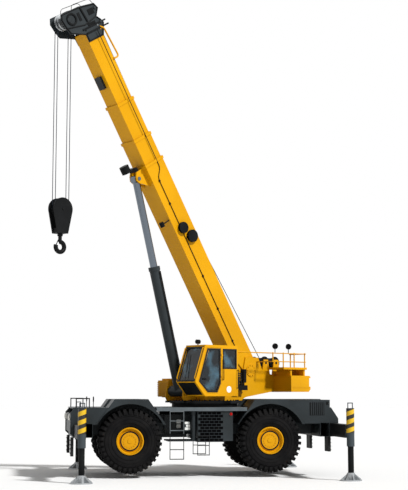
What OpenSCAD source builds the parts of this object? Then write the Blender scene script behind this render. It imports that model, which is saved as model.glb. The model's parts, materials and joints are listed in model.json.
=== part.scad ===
// Rough-terrain mobile crane on four large wheels, standing on its outriggers.
// X points to the front, Y to the left and Z up. The origin is on the ground under the slewing axis.

/* [Stance] */
// Height by which the outriggers raise the crane off its wheels
wheel_lift = 180; // [120:10:240]
// Slewing angle of the superstructure, to the left of straight ahead
slew = 32.5; // [0:0.5:60]
// Elevation of the boom above the horizontal
luff = 57.7; // [40:0.1:75]

/* [Wheels] */
// Place of the front axle ahead of the slewing axis
front_axle_x = 2540; // [2500:10:2560]
// Distance between the axles
wheelbase = 4340; // [4320:10:4400]
// Outside diameter of a tyre, over its lugs
tyre_d = 1950; // [1900:10:1980]
// Height of the hubs above the ground when the crane stands on its loaded tyres
hub_h = 935; // [925:1:945]
// Width of a tyre at its widest
tyre_w = 750; // [650:10:760]
// Distance from the middle plane to the middle of a tyre
tyre_y = 1295; // [1280:5:1310]
// Diameter over the rim's flanges
rim_d = 830; // [800:10:860]
// Height of the lugs above the tread
lug_h = 45; // [30:1:55]
// Number of lugs round each shoulder
lug_count = 34; // [24:1:36]
// Distance from the middle plane to a kingpin
kingpin_y = 1050; // [1040:5:1060]
// Radius of a kingpin
kingpin_r = 38; // [30:1:45]
// Radius of a wheel spindle
spindle_r = 80; // [70:1:90]

/* [Carrier] */
// Width over the fenders and the side boxes
carrier_w = 3340; // [3300:10:3400]
// Height of the deck above the frame rails
deck_up = 230; // [220:5:240]
// Underside of the frame rails above the wheels' ground line
rail_z = 1110; // [1090:5:1130]
// Depth of the frame rails
rail_h = 610; // [560:10:640]
// Thickness of the carrier's plates
plate_t = 16; // [10:1:20]
// Width of the side boxes and the ladder bay, measured inwards
side_w = 640; // [560:10:650]

/* [Outriggers] */
// Place of the front left beam ahead of the slewing axis
front_beam_x = 4110; // [4100:5:4150]
// Place of the rear left beam ahead of the slewing axis
rear_beam_x = -3810; // [-3840:5:-3800]
// Distance between the left and the right beam of one box
beam_pitch = 290; // [285:1:300]
// Width of an outrigger beam
beam_w = 250; // [235:1:254]
// Depth of an outrigger beam
beam_h = 390; // [350:5:400]
// Distance from the middle plane to a jack
jack_y = 3480; // [3300:10:3560]
// Outside diameter of a jack's upper tube
jack_d = 230; // [210:5:240]
// Diameter of a jack's lower tube
jack_rod_d = 176; // [160:2:190]
// Diameter of a float
float_d = 640; // [560:10:700]

/* [Superstructure] */
// Distance between the two tower plates, outside to outside
tower_w = 860; // [855:5:880]
// Thickness of a tower plate
tower_t = 40; // [30:1:45]
// Place of the boom pivot behind the slewing axis
pivot_x = -1650; // [-1670:5:-1630]
// Height of the boom pivot above the slewing ring
pivot_up = 1070; // [1050:5:1090]
// Radius of the boom pivot pin
pivot_r = 70; // [60:1:80]
// Width of the operator's cab
cab_w = 900; // [860:5:940]
// Height of the operator's cab
cab_h = 1570; // [1540:5:1600]
// Thickness of the cab's walls
cab_t = 45; // [40:1:50]
// Length of the counterweight
weight_l = 920; // [860:10:960]
// Width of the counterweight
weight_w = 2500; // [2400:10:2560]
// Height of the counterweight
weight_h = 530; // [500:10:550]

/* [Boom] */
// Distance from the boom pivot to the end of the base section
base_end = 7650; // [7600:10:7700]
// Distance from the boom pivot to the end of the outer middle section
mid_outer_end = 8500; // [8450:5:8550]
// Distance from the boom pivot to the end of the inner middle section
mid_inner_end = 9720; // [9680:10:9750]
// Distance from the boom pivot to the end of the tip section
tip_end = 12080; // [12000:10:12150]
// Width of the base section
boom_w = 680; // [660:2:690]
// Depth of the base section
boom_h = 780; // [760:2:800]
// Wall of the boom sections
boom_t = 10; // [8:1:11]
// Gap between two nested boom sections at their sides
boom_gap = 15; // [10:1:16]
// Diameter of the rope sheaves at the boom's head
sheave_d = 500; // [460:10:520]
// Length of the hoist rope's falls below the head sheaves
falls_l = 5350; // [5000:50:5600]
// Diameter of the hoist rope
rope_d = 22; // [16:1:26]
// Bore of the jib pins in the boom's head
jib_bore = 60; // [40:2:64]

/* [Lift cylinder] */
// Place of the cylinder's foot pin ahead of the slewing axis
foot_x = 1050; // [1030:5:1070]
// Height of the cylinder's foot pin above the slewing ring
foot_up = 390; // [380:5:400]
// Distance from the end of the base section back to the rod's pin
rod_back = 280; // [260:10:300]
// Distance from the boom's underside to the rod's pin
rod_pin_drop = 300; // [290:5:310]
// Outside diameter of the lift cylinder's barrel
barrel_d = 330; // [310:5:350]
// Diameter of the lift cylinder's rod
rod_d = 230; // [210:5:240]
// Length of the lift cylinder's barrel beyond its foot pin
barrel_l = 4000; // [3900:10:4050]

/* [Hidden] */
$fn = 48;

yellow = "#F2B40C";
grey = "#42494E";
black = "#1C1D1F";
pale = "#B9BDBE";
glass = "#2E3F46";

// Clearances of running pins, of sliding boxes and of seated faces
pin_gap = 0.5;
slide_gap = 6;
seat_gap = 0.3;

rear_axle_x = front_axle_x - wheelbase;
half_w = carrier_w / 2;
rail_top = rail_z + rail_h;
rail_out = 470;
rail_in = 300;
deck_h = rail_top + deck_up;
deck_t = 110;
fender_in = 505;
arch_r = 1120;
step_d = 60;

// Running gear
tyre_r = tyre_d / 2;
rim_r = rim_d / 2;
bead_r = rim_r - 25;
rim_half = 285;
flange_t = 24;
axle_r = 130;
yoke_in = 150;
ear_half = 75;
ear_z = 152;
ear_t = 43;

// Outrigger boxes
box_wall = 12;
beam_z = 1260;
beam_in = 3050;
box_half = 1640;
box_w = beam_pitch + beam_w + 2 * slide_gap + 2 * box_wall;
box_h = beam_h + 2 * slide_gap + 2 * box_wall;
box_low = beam_z - box_h / 2;
box_high = beam_z + box_h / 2;
front_box_x = front_beam_x - beam_pitch / 2;
rear_box_x = rear_beam_x + beam_pitch / 2;
nose_x = front_box_x + box_w / 2;
rear_x = rear_box_x - box_w / 2;
first_cross = rear_box_x + box_w / 2 + 180;
jack_top = 1940;
jack_tube_bottom = 820;
float_h = 250;
jack_rod_l = 1220;
pad_l = 120;

// Superstructure
ring_d = 2100;
ring_h = 110;
ring_top = deck_h + ring_h;
pivot_h = ring_top + pivot_up;
foot_h = ring_top + foot_up;
base_z = ring_top;
base_t = 90;
tower_in = tower_w / 2 - tower_t;
cab_z = ring_top + 230;
cab_y = tower_w / 2 + 80;
cab_back = -150;
cab_front = 1630;
cab_brow = 1220;
cab_toe = 1230;
sill_h = 440;
weight_x = -2690;
weight_z = ring_top + 370;
winch_r = 150;
winch_flange_r = 215;
main_winch_x = -2450;
aux_winch_x = -2930;
winch_h = ring_top + 1330;
winch_len = 520;
shaft_r = 40;

// Boom sections: width, depth, tail, end
gap_h = boom_gap - 2;
function section_w(i) = boom_w - i * 2 * (boom_t + boom_gap);
function section_h(i) = boom_h - i * 2 * (boom_t + gap_h);
ends = [base_end, mid_outer_end, mid_inner_end, tip_end];
tails = [-350, 300, 1500, 2750];
collar_l = 90;
collar_t = 22;
head_drop = 690;
head_x = tip_end + 560;
head_plate = 22;
sheave_w = 60;
guide_x = [tip_end + 110, tip_end + 560];
sheave_pitch = 150;
rod_pin_l = base_end - rod_back;
rod_pin_d = boom_h / 2 + rod_pin_drop;
rod_pin_r = 60;
lug_end = rod_pin_l + 220;
rod_in = 1100;
block_w = 300;
block_h = 1060;
block_r = 335;

// The boom's plane: place of a point given along and across the boom, as [x, height]
function boom_xz(l, d) = [
  pivot_x + l * cos(luff) - d * sin(luff),
  pivot_h + l * sin(luff) + d * cos(luff)
];
sheave_at = boom_xz(head_x, -head_drop);
rod_at = boom_xz(rod_pin_l, -rod_pin_d);
lift_vec = [rod_at[0] - foot_x, rod_at[1] - foot_h];
lift_len = norm(lift_vec);
lift_angle = atan2(lift_vec[1], lift_vec[0]);

// Places
module on_wheels() {
  translate([0, 0, wheel_lift]) children();
}

module on_super() {
  on_wheels() rotate([0, 0, slew]) children();
}

module on_boom() {
  on_super() translate([pivot_x, 0, pivot_h]) rotate([0, -luff, 0]) children();
}

module on_lift() {
  on_super() translate([foot_x, 0, foot_h]) rotate([0, -lift_angle, 0]) children();
}

module on_falls() {
  on_super() translate([sheave_at[0], 0, sheave_at[1]]) children();
}

// The wheel's own frame: axle along Y, outer side at +Y, for a front or rear, left or right wheel
module at_wheel(front, left) {
  on_wheels()
    translate([front ? front_axle_x : rear_axle_x, 0, hub_h])
      mirror([0, left ? 0 : 1, 0])
        translate([0, tyre_y, 0]) children();
}

module at_beam(front, left) {
  x_left = front ? front_beam_x : rear_beam_x;
  step = front ? -beam_pitch : beam_pitch;
  on_wheels()
    translate([left ? x_left : x_left + step, 0, 0])
      mirror([0, left ? 0 : 1, 0]) children();
}

module both_sides() {
  children();
  mirror([0, 1, 0]) children();
}

// A plate in the XZ plane, from y to y + t
module xz_plate(y, t) {
  translate([0, y + t, 0]) rotate([90, 0, 0]) linear_extrude(t) children();
}

module y_cylinder(r, y0, y1) {
  translate([0, y1, 0]) rotate([90, 0, 0]) cylinder(r = r, h = y1 - y0);
}

module span(x, y, z) {
  translate([x[0], y[0], z[0]]) cube([x[1] - x[0], y[1] - y[0], z[1] - z[0]]);
}

// A round bar between two points
module bar(a, b, r) {
  v = b - a;
  translate(a)
    rotate([0, acos(v[2] / norm(v)), atan2(v[1], v[0])])
      cylinder(r = r, h = norm(v), $fn = 24);
}

// Carrier
module carrier_frame() {
  pedestal_r = ring_d / 2 - 40;
  color(grey) on_wheels() {
    both_sides()
      span([rear_box_x + box_w / 2, front_box_x - box_w / 2], [rail_in, rail_out], [rail_z, rail_top]);
    for (x = [first_cross, -900, 780, 1500, 3000])
      span([x - 60, x + 60], [-rail_in, rail_in], [rail_z + 160, rail_top]);
    difference() {
      translate([0, 0, rail_top]) cylinder(r = pedestal_r, h = deck_h - rail_top);
      translate([0, 0, rail_top - 1]) cylinder(r = pedestal_r - 120, h = deck_h - rail_top + 2);
    }
  }
}

function guard_outline() = [
  [hood_rear - seat_gap, box_high - 5], [hood_rear - seat_gap, box_high + 470],
  [hood_rear - 40, box_high + 470], [rear_x, box_high + 130], [rear_x, box_high - 5]
];

// Place along X of the edge from a to b, at a height
function edge_x(a, b, z) = a[0] + (b[0] - a[0]) * (z - a[1]) / (b[1] - a[1]);

module beam_channels(x_in, x_out) {
  for (x = [x_in, x_out])
    translate([x, 0, beam_z])
      cube([beam_w + 2 * slide_gap, 2 * box_half + 2, beam_h + 2 * slide_gap], center = true);
}

module outrigger_boxes() {
  slope = front_axle_x + edge_x(fender_outline(0)[3], fender_outline(0)[2], deck_h - hub_h) + 2;
  tail = front_axle_x + fender_outline(0)[3][0] + 20;
  color(grey) on_wheels() {
    difference() {
      union() {
        translate([front_box_x, 0, beam_z]) cube([box_w, 2 * box_half, box_h], center = true);
        // Nose: two cheeks that reach back to the fenders, a top plate and a front panel
        both_sides() xz_plate(box_half - 60, 60)
          polygon([[nose_x - box_w, box_low], [nose_x - 40, box_low], [nose_x + 100, box_low + 120],
                   [nose_x + 100, deck_h - 160], [nose_x - 40, deck_h], [slope, deck_h],
                   [tail, hub_h + 500], [nose_x - box_w, hub_h + 500]]);
        span([slope + 30, nose_x + 20], [-box_half, box_half], [deck_h - 30, deck_h - 5]);
        span([nose_x, nose_x + 70], [-box_half, box_half], [box_low + 150, deck_h - 180]);
      }
      beam_channels(front_beam_x, front_beam_x - beam_pitch);
    }
    difference() {
      union() {
        translate([rear_box_x, 0, beam_z]) cube([box_w, 2 * box_half, box_h], center = true);
        // Sloping guard behind the hood, with its two cheeks
        both_sides() xz_plate(box_half - 40, 40) polygon(guard_outline());
        xz_plate(-box_half, 2 * box_half) difference() {
          polygon(guard_outline());
          translate([30, -24]) polygon(guard_outline());
        }
      }
      beam_channels(rear_beam_x, rear_beam_x + beam_pitch);
    }
  }
}

module deck() {
  low = deck_h - deck_t - hub_h;
  back = rear_axle_x + edge_x(fender_outline(0)[3], fender_outline(0)[2], low) + 4;
  front = front_axle_x + edge_x(fender_outline(0)[0], fender_outline(0)[1], low) - 4;
  color(pale) on_wheels() difference() {
    span([back, front], [-half_w, half_w], [deck_h - deck_t, deck_h]);
    translate([0, 0, deck_h - deck_t - 1]) cylinder(r = ring_d / 2 - 40 + seat_gap, h = deck_t + 2);
  }
}

// The outline of a fender about its hub, drawn in by a wall
function fender_outline(wall) = [
  [-1085 + wall * 1.3, 500], [-540 + wall * 0.5, 1265 - wall],
  [480 - wall * 0.5, 1265 - wall], [1035 - wall * 1.3, 500]
];

module fender() {
  xz_plate(fender_in, half_w - fender_in) difference() {
    polygon(fender_outline(0));
    polygon(fender_outline(plate_t));
    translate([-1500, 0]) square([3000, 500 + plate_t]);
  }
  xz_plate(half_w - plate_t, plate_t) difference() {
    polygon(fender_outline(0));
    circle(r = arch_r, $fn = 96);
  }
  xz_plate(fender_in, plate_t) polygon(fender_outline(0));
}

module fenders() {
  low = hub_h + 560;
  color(grey) on_wheels() both_sides() {
    for (x = [front_axle_x, rear_axle_x]) {
      translate([x, 0, hub_h]) fender();
      // Brackets that carry the fender on the frame rail
      for (dx = [-420, 340])
        span([x + dx, x + dx + 80], [rail_out, fender_in + 1], [low, rail_top - 20]);
    }
  }
}

hood_top = ring_top + 140;
hood_low = 1450;
hood_rear = rear_box_x - 20;
hood_mid = rear_axle_x - 480;

module engine_hood() {
  slat_pitch = 62;
  arm = fender_in - seat_gap;
  color(grey) on_wheels() difference() {
    union() {
      span([hood_rear, rear_axle_x + 350], [-arm, arm], [rail_top, hood_top]);
      span([hood_rear, hood_mid], [-half_w + 20, half_w - 20], [hood_low, hood_top - 20]);
    }
    span([hood_rear + plate_t, rear_axle_x + 350 - plate_t], [plate_t - arm, arm - plate_t],
         [rail_top - 1, hood_top - plate_t]);
    span([hood_rear + plate_t, hood_mid - plate_t], [plate_t - half_w + 20, half_w - 20 - plate_t],
         [hood_low - 1, hood_top - 20 - plate_t]);
    both_sides() translate([rear_axle_x, 0, hub_h]) xz_plate(fender_in, half_w)
      union() {
        circle(r = arch_r, $fn = 96);
        polygon(fender_outline(-seat_gap));
      }
    span([hood_rear - 1, hood_mid + 1], [-rail_out - seat_gap, rail_out + seat_gap],
         [hood_low - 1, rail_top]);
    span([rear_box_x - box_w, rear_box_x + box_w / 2 + seat_gap], [-half_w, half_w],
         [0, beam_z + box_h / 2 + seat_gap]);
    for (i = [0 : 3])
      span([hood_rear - 1, hood_rear + plate_t + 1], [-700, 700],
           [hood_top - 220 + i * 46, hood_top - 198 + i * 46]);
  }
  // Louvres, pressed out of both sides
  color(grey) on_wheels() both_sides() for (i = [0 : 6])
    translate([hood_rear + 200 + i * slat_pitch, half_w - 20, hood_low + 260])
      linear_extrude(hood_top - hood_low - 360) polygon([[0, -1], [34, -1], [34, 14], [24, 14]]);
}

module engine_block() {
  color(black) on_wheels()
    span([first_cross + 75, rear_axle_x - 150], [seat_gap - rail_in, rail_in - seat_gap],
         [rail_z + 180, hood_top - 160]);
}

module side_boxes() {
  in_y = half_w - side_w;
  box_y = half_w - step_d;
  low = 900;
  top = deck_h - deck_t;
  bay_end = front_axle_x - 1170;
  color(grey) on_wheels() {
    // Left: step box with its plain end, and the open bay's floor, back and pump
    span([-330, 480], [in_y, box_y], [low, top]);
    span([-620, -330], [in_y, box_y], [low + 30, top]);
    span([480, bay_end], [rail_out, rail_out + 150], [rail_z + 60, rail_top]);
    span([480, bay_end], [rail_out, half_w - 120], [low + 20, low + 60]);
    translate([580, half_w - 200, low + 60]) cylinder(r = 70, h = top - low - 60);
    translate([580, half_w - 200, low + 60]) cylinder(r = 90, h = 70);
    translate([580, half_w - 200, top - 110]) cylinder(r = 90, h = 110);
    // Blank plates that hang in the bay, on a bar from the step box
    span([479, 860], [half_w - 330, half_w - 300], [low + 560, low + 600]);
    span([640, 850], [half_w - 301, half_w - 288], [low + 330, low + 620]);
    // Struts from the frame to the left boxes
    span([-500, -420], [rail_out, in_y], [rail_z + 120, rail_z + 320]);
    span([250, 330], [rail_out, in_y], [rail_z + 120, rail_z + 320]);
    // Right: fuel tank and hydraulic tank, with their fillers and straps
    span([-620, 330], [-box_y, -in_y], [low + 30, top]);
    span([420, bay_end - 40], [-box_y, -in_y], [low + 60, top]);
    for (x = [-490, 180, 520, bay_end - 180])
      span([x, x + 60], [-box_y - 8, -box_y + 1], [low + 70, top]);
    for (x = [-380, 700])
      translate([x, -box_y, top - 160]) rotate([90, 0, 0]) cylinder(r = 60, h = 40);
    span([-200, -100], [-in_y, -rail_out], [rail_z + 120, rail_z + 320]);
    span([820, 920], [-in_y, -rail_out], [rail_z + 120, rail_z + 320]);
  }
}

module ladder(x0, x1, low, top, steps) {
  rung = 24;
  for (x = [x0, x1])
    translate([x, half_w - step_d / 3, low]) cylinder(r = 12, h = top - low, $fn = 24);
  for (i = [0 : steps])
    translate([x0, half_w - step_d, low + i * (top - low - rung) / steps]) cube([x1 - x0, step_d, rung]);
}

module ladders() {
  color(pale) on_wheels() {
    ladder(910, 1330, 380, deck_h - deck_t, 5);
    ladder(120, 480, 500, 1100, 2);
    mirror([0, 1, 0]) ladder(-300, 120, 380, deck_h - deck_t, 5);
  }
}

module axle() {
  y_cylinder(axle_r, -kingpin_y + yoke_in, kingpin_y - yoke_in);
  sphere(r = 250, $fn = 64);
  both_sides() {
    difference() {
      union() {
        span([-ear_half, ear_half], [kingpin_y - yoke_in, kingpin_y - yoke_in + 40], [-ear_z - ear_t, ear_z + ear_t]);
        for (z = [ear_z, -ear_z - ear_t])
          span([-ear_half, ear_half], [kingpin_y - yoke_in, kingpin_y + 65], [z, z + ear_t]);
      }
      translate([0, kingpin_y, -ear_z - ear_t - 1]) cylinder(r = kingpin_r + pin_gap, h = 2 * (ear_z + ear_t) + 2);
    }
    span([-140, 140], [rail_in + 20, rail_out - 20], [0, rail_z - hub_h]);
  }
}

module axles() {
  color(black) on_wheels() for (x = [front_axle_x, rear_axle_x])
    translate([x, 0, hub_h]) axle();
}

module slew_ring() {
  color(black) on_wheels() difference() {
    translate([0, 0, deck_h]) cylinder(r = ring_d / 2, h = ring_h - seat_gap, $fn = 96);
    translate([0, 0, deck_h - 1]) cylinder(r = ring_d / 2 - 260, h = ring_h + 2, $fn = 96);
  }
}

module carrier_lamps() {
  color("#D8D2C0") on_wheels() both_sides() {
    for (y = [box_half - 590, box_half - 340])
      translate([nose_x + 70, y, box_high + 180]) rotate([0, 90, 0]) cylinder(r = 95, h = 60);
    span([rear_x - 50, rear_x], [box_half - 460, box_half - 140], [beam_z + 70, beam_z + 190]);
    translate([-560, half_w - step_d, deck_h - 205]) rotate([-90, 0, 0]) cylinder(r = 45, h = 30);
  }
}

module carrier_rails() {
  hoop_h = 270;
  x0 = front_box_x - 180;
  x1 = front_box_x + 215;
  hoop_y = box_half - 30;
  color(black) on_wheels() {
    both_sides() {
      bar([x0, hoop_y, deck_h], [x0, hoop_y, deck_h + hoop_h], 17);
      bar([x1, hoop_y, deck_h], [x1, hoop_y, deck_h + hoop_h], 17);
      bar([x0 - 17, hoop_y, deck_h + hoop_h], [x1 + 17, hoop_y, deck_h + hoop_h], 17);
      bar([x0 - 120, hoop_y, deck_h], [x0 - 120, hoop_y, deck_h + 260], 12);
      translate([x0 - 135, hoop_y, deck_h + 250]) rotate([0, 90, 0]) cylinder(r = 80, h = 30);
    }
  }
}

module mud_flaps() {
  y0 = box_half - 690;
  y1 = box_half - 240;
  color(black) on_wheels() both_sides() {
    span([nose_x - 20, nose_x + 60], [y0, y1], [box_low - 560, box_low]);
    span([rear_box_x - 100, rear_box_x - 20], [y0, y1], [box_low - 470, box_low]);
    // Ribs across the flaps
    for (i = [0 : 3]) {
      span([nose_x + 59, nose_x + 72], [y0, y1], [box_low - 500 + i * 130, box_low - 460 + i * 130]);
      span([rear_box_x - 112, rear_box_x - 99], [y0, y1], [box_low - 430 + i * 110, box_low - 395 + i * 110]);
    }
  }
}

// Running gear
module knuckle(front, left) {
  inward = kingpin_y - tyre_y;
  drum_in = inward + 112;
  color(black) at_wheel(front, left) {
    translate([0, inward, -ear_z + 2]) cylinder(r = 95, h = 2 * ear_z - 4);
    translate([0, inward, -ear_z - ear_t]) cylinder(r = kingpin_r, h = 2 * (ear_z + ear_t));
    y_cylinder(spindle_r, inward, 190);
    y_cylinder(235, drum_in, drum_in + 150);
    span([-290, 0], [inward - 30, inward + 30], [-40, 40]);
  }
}

// Half a tyre's section, as a squarish bulge from the bead to the tread
tread_r = tyre_r - lug_h;
function tyre_point(a) = [
  (tread_r + bead_r) / 2 + (tread_r - bead_r) / 2 * sin(a),
  tyre_w / 2 * pow(cos(a), 0.42)
];

// One lug of the left shoulder: across the tread, then down over the shoulder
module lug() {
  width = PI * tyre_d / lug_count * 0.52;
  edge = tyre_w / 2;
  translate([width / 2, 0, 0]) rotate([90, 0, -90]) linear_extrude(width)
    polygon([[-edge * 0.08, tread_r - 30], [-edge * 0.08, tyre_r - 6], [-edge * 0.2, tyre_r],
             [-edge * 0.8, tyre_r], [-edge, tyre_r - 95], [-edge * 0.99, tyre_r - 175],
             [-edge * 0.9, tyre_r - 175], [-edge * 0.72, tread_r - 30]]);
}

module tyre(front, left) {
  side = [for (a = [-80 : 16 : 80]) tyre_point(a)];
  outline = concat([[bead_r + seat_gap, rim_half - 10]], side);
  color(black) at_wheel(front, left) {
    rotate([90, 0, 0]) rotate_extrude($fn = 96)
      polygon(concat(outline, [for (i = [len(outline) - 1 : -1 : 0]) [outline[i][0], -outline[i][1]]]));
    for (i = [0 : lug_count - 1], shoulder = [0, 1])
      mirror([0, shoulder, 0]) rotate([0, (i + shoulder / 2) * 360 / lug_count, 0]) lug();
  }
}

module rim(front, left) {
  barrel = bead_r - 26;
  disc = 150;
  color(yellow) at_wheel(front, left) rotate([-90, 0, 0]) rotate_extrude($fn = 96) polygon([
    [0, 205], [0, 255], [70, 255], [80, 240], [262, 240], [268, 222], [292, 222], [298, 236],
    [barrel - 30, 205], [barrel, 240], [bead_r - 6, rim_half + flange_t], [rim_r, rim_half + flange_t - 8],
    [rim_r, rim_half], [bead_r, rim_half], [bead_r, -rim_half], [rim_r, -rim_half],
    [rim_r, -rim_half - flange_t], [barrel, -rim_half - flange_t], [barrel, disc], [spindle_r + pin_gap, disc],
    [spindle_r + pin_gap, 205]
  ]);
}

// Outriggers
module beam(front, left) {
  color(black) at_beam(front, left) {
    translate([-beam_w / 2, jack_y - beam_in, beam_z - beam_h / 2]) difference() {
      cube([beam_w, beam_in - jack_d / 2 + 20, beam_h]);
      translate([box_wall, -1, box_wall]) cube([beam_w - 2 * box_wall, beam_in - jack_d, beam_h - 2 * box_wall]);
    }
    // Wear pads on the beam's inner end
    for (z = [beam_z - beam_h / 2 - slide_gap + seat_gap, beam_z + beam_h / 2])
      translate([-beam_w / 2, jack_y - beam_in, z]) cube([beam_w, pad_l, slide_gap - seat_gap]);
    translate([0, jack_y, jack_tube_bottom]) difference() {
      cylinder(r = jack_d / 2, h = jack_top - jack_tube_bottom);
      translate([0, 0, -1]) cylinder(r = jack_rod_d / 2 + pin_gap, h = jack_top - jack_tube_bottom - 40);
    }
    for (x = [-70, 70])
      bar([x, jack_y, jack_top - 5], [x, jack_y, jack_top + 150], 14);
    bar([-84, jack_y, jack_top + 150], [84, jack_y, jack_top + 150], 14);
  }
}

module jack(front, left) {
  ball = -wheel_lift + float_h;
  color(black) at_beam(front, left) translate([0, jack_y, 0]) {
    translate([0, 0, ball - 30]) cylinder(r = jack_rod_d / 2, h = jack_rod_l);
    translate([0, 0, -wheel_lift]) {
      cylinder(r = float_d / 2, h = 36);
      cylinder(r = 120, h = float_h - 20);
      for (a = [0 : 45 : 315])
        rotate([0, 0, a]) xz_plate(-9, 18)
          polygon([[90, 20], [float_d / 2 - 20, 20], [float_d / 2 - 20, 60], [110, float_h - 40], [90, float_h - 40]]);
    }
  }
}

// Superstructure
module turntable() {
  top = weight_z + weight_h;
  tank_y = tower_w / 2 + 620;
  color(yellow) on_super() {
    difference() {
      union() {
        translate([0, 0, base_z]) cylinder(r = ring_d / 2 + 60, h = base_t, $fn = 96);
        span([-1190, 1180], [-tower_w / 2 - 120, tower_w / 2 + 120], [base_z + 30, base_z + base_t]);
        both_sides() xz_plate(tower_in, tower_t) {
          difference() {
            polygon([[1200, base_z + 40], [1290, foot_h - 190], [1230, foot_h + 180], [880, foot_h + 230],
                     [200, foot_h + 180], [pivot_x + 330, pivot_h + 40], [pivot_x + 240, pivot_h + 420],
                     [pivot_x - 340, pivot_h + 420], [pivot_x - 500, pivot_h + 40], [weight_x, top],
                     [weight_x, weight_z + 20], [-1420, hood_top + 60], [-1290, hood_top + 5],
                     [-1180, base_z + 40]]);
            translate([foot_x, foot_h]) circle(r = 75);
          }
        }
        // Bosses round the boom's pivot and stiffeners along the plates
        both_sides() translate([pivot_x, 0, pivot_h]) y_cylinder(210, tower_w / 2 - 1, tower_w / 2 + 22);
        both_sides() xz_plate(tower_w / 2 - 1, 41)
          polygon([[-1250, foot_h - 60], [700, foot_h - 60], [700, foot_h - 20], [-1250, foot_h - 20]]);
        // Cab carrier to the left
        span([-700, 700], [tower_w / 2 - 1, cab_y + 300], [base_z + 40, cab_z - seat_gap]);
        // Oil tank on the right, with the cooler at its front
        span([-1350, 900], [-tank_y, 1 - tower_w / 2], [cab_z - 40, cab_z + 560]);
        span([899, 1120], [-tank_y + 60, -tower_w / 2 - 30], [cab_z - 20, cab_z + 500]);
        for (i = [0 : 6])
          span([1119, 1150], [-tank_y + 60, -tower_w / 2 - 30], [cab_z + 20 + i * 66, cab_z + 52 + i * 66]);
        // Winch cradle behind the boom's foot, between the tower plates
        for (x = [main_winch_x, aux_winch_x]) both_sides()
          xz_plate(winch_len / 2 + 20, 40)
            polygon([[x - 190, top], [x + 190, top], [x + 100, winch_h + 110], [x - 100, winch_h + 110]]);
        span([aux_winch_x - 240, main_winch_x + 220], [-tower_in - 5, tower_in + 5], [top, top + 40]);
      }
      translate([pivot_x, 0, pivot_h]) y_cylinder(pivot_r + pin_gap, -tower_w, tower_w);
      for (x = [main_winch_x, aux_winch_x])
        translate([x, 0, winch_h]) y_cylinder(shaft_r + pin_gap, -tower_w, tower_w);
    }
    both_sides() translate([foot_x, 0, foot_h]) y_cylinder(75, tower_in, tower_w / 2 + 40);
  }
}

module counterweight() {
  edge = 45;
  back = weight_x - weight_l;
  color(yellow) on_super() difference() {
    xz_plate(-weight_w / 2, weight_w)
      polygon([[weight_x - seat_gap, weight_z], [weight_x - seat_gap, weight_z + weight_h - seat_gap],
               [back + edge, weight_z + weight_h - seat_gap], [back, weight_z + weight_h - edge],
               [back, weight_z + 2 * edge], [back + 2 * edge, weight_z]]);
    // Hand holds at the rear corners and the parting groove between the two slabs
    for (y = [-weight_w / 2 - 1, weight_w / 2 - 60])
      translate([back - 1, y, weight_z + 170]) cube([80, 61, weight_h - 240]);
    translate([back - 1, -weight_w / 2 - 1, weight_z + 118]) cube([13, weight_w + 2, 16]);
    for (y = [-weight_w / 2 - 1, weight_w / 2 - 12])
      translate([back - 1, y, weight_z + 118]) cube([weight_l - 40, 13, 16]);
  }
}

// The cab's side outline: raked windscreen, and a toe that slopes back to the floor
cab_outline = [
  [cab_back, 0], [cab_toe, 0], [cab_front, sill_h], [cab_brow, cab_h], [cab_back, cab_h]
];
function inset_outline(t) = [
  [cab_back + t, t], [cab_toe - t * 0.4, t], [cab_front - t * 1.1, sill_h],
  [cab_brow - t * 1.1, cab_h - t], [cab_back + t, cab_h - t]
];
// Door opening and rear side window, in the same outline
door_gap = 5;
door_back = 560;
door_outline = [[door_back + 150, 90], [cab_toe - 90, 90], [cab_front - 110, sill_h],
                [cab_brow - 60, cab_h - 80], [door_back, cab_h - 80], [door_back, 390]];
function door_inset(t) = [
  [door_back + 150 + t * 0.618, 90 + t], [cab_toe - 90 - t * 0.4, 90 + t],
  [cab_front - 110 - t * 1.1, sill_h], [cab_brow - 60 - t * 1.1, cab_h - 80 - t], [door_back + t, cab_h - 80 - t], [door_back + t, 390 + t * 0.237]
];

// A side window from the rear post to x, drawn in by a gap
function side_window(x, gap) = [
  [cab_back + 90 + gap, cab_h - 700 + gap], [x - gap, cab_h - 700 + gap],
  [x - gap, cab_h - 140 - gap], [cab_back + 90 + gap, cab_h - 140 - gap]
];
hinge_r = 14;
hinge_l = 60;
hinge_z = [500, cab_h - 400];

module on_cab() {
  on_super() translate([0, cab_y, cab_z]) children();
}

module cab_shell() {
  color(yellow) on_cab() difference() {
    xz_plate(0, cab_w) polygon(cab_outline);
    xz_plate(cab_t, cab_w - 2 * cab_t) polygon(inset_outline(cab_t));
    // Doorway, side windows, windscreen, rear window and roof light
    xz_plate(cab_w - cab_t - 1, cab_t + 2) polygon(door_outline);
    xz_plate(cab_w - cab_t - 1, cab_t + 2) polygon(side_window(door_back - 90, 0));
    xz_plate(-1, cab_t + 2) polygon(side_window(cab_brow - 40, 0));
    span([cab_brow - 80, cab_front + 10], [80, cab_w - 80], [sill_h + 40, cab_h - 90]);
    span([cab_back - 1, cab_back + cab_t + 1], [100, cab_w - 100], [760, cab_h - 130]);
    span([250, cab_brow - 250], [140, cab_w - 140], [cab_h - cab_t - 1, cab_h + 1]);
  }
  color(yellow) on_cab() for (z = hinge_z) {
    span([door_back - 80, door_back], [cab_w, cab_w + 6], [z + hinge_l + seat_gap, z + 2 * hinge_l]);
    translate([door_back, cab_w + hinge_r, z + hinge_l + seat_gap]) cylinder(r = hinge_r, h = hinge_l - seat_gap);
  }
}

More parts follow.
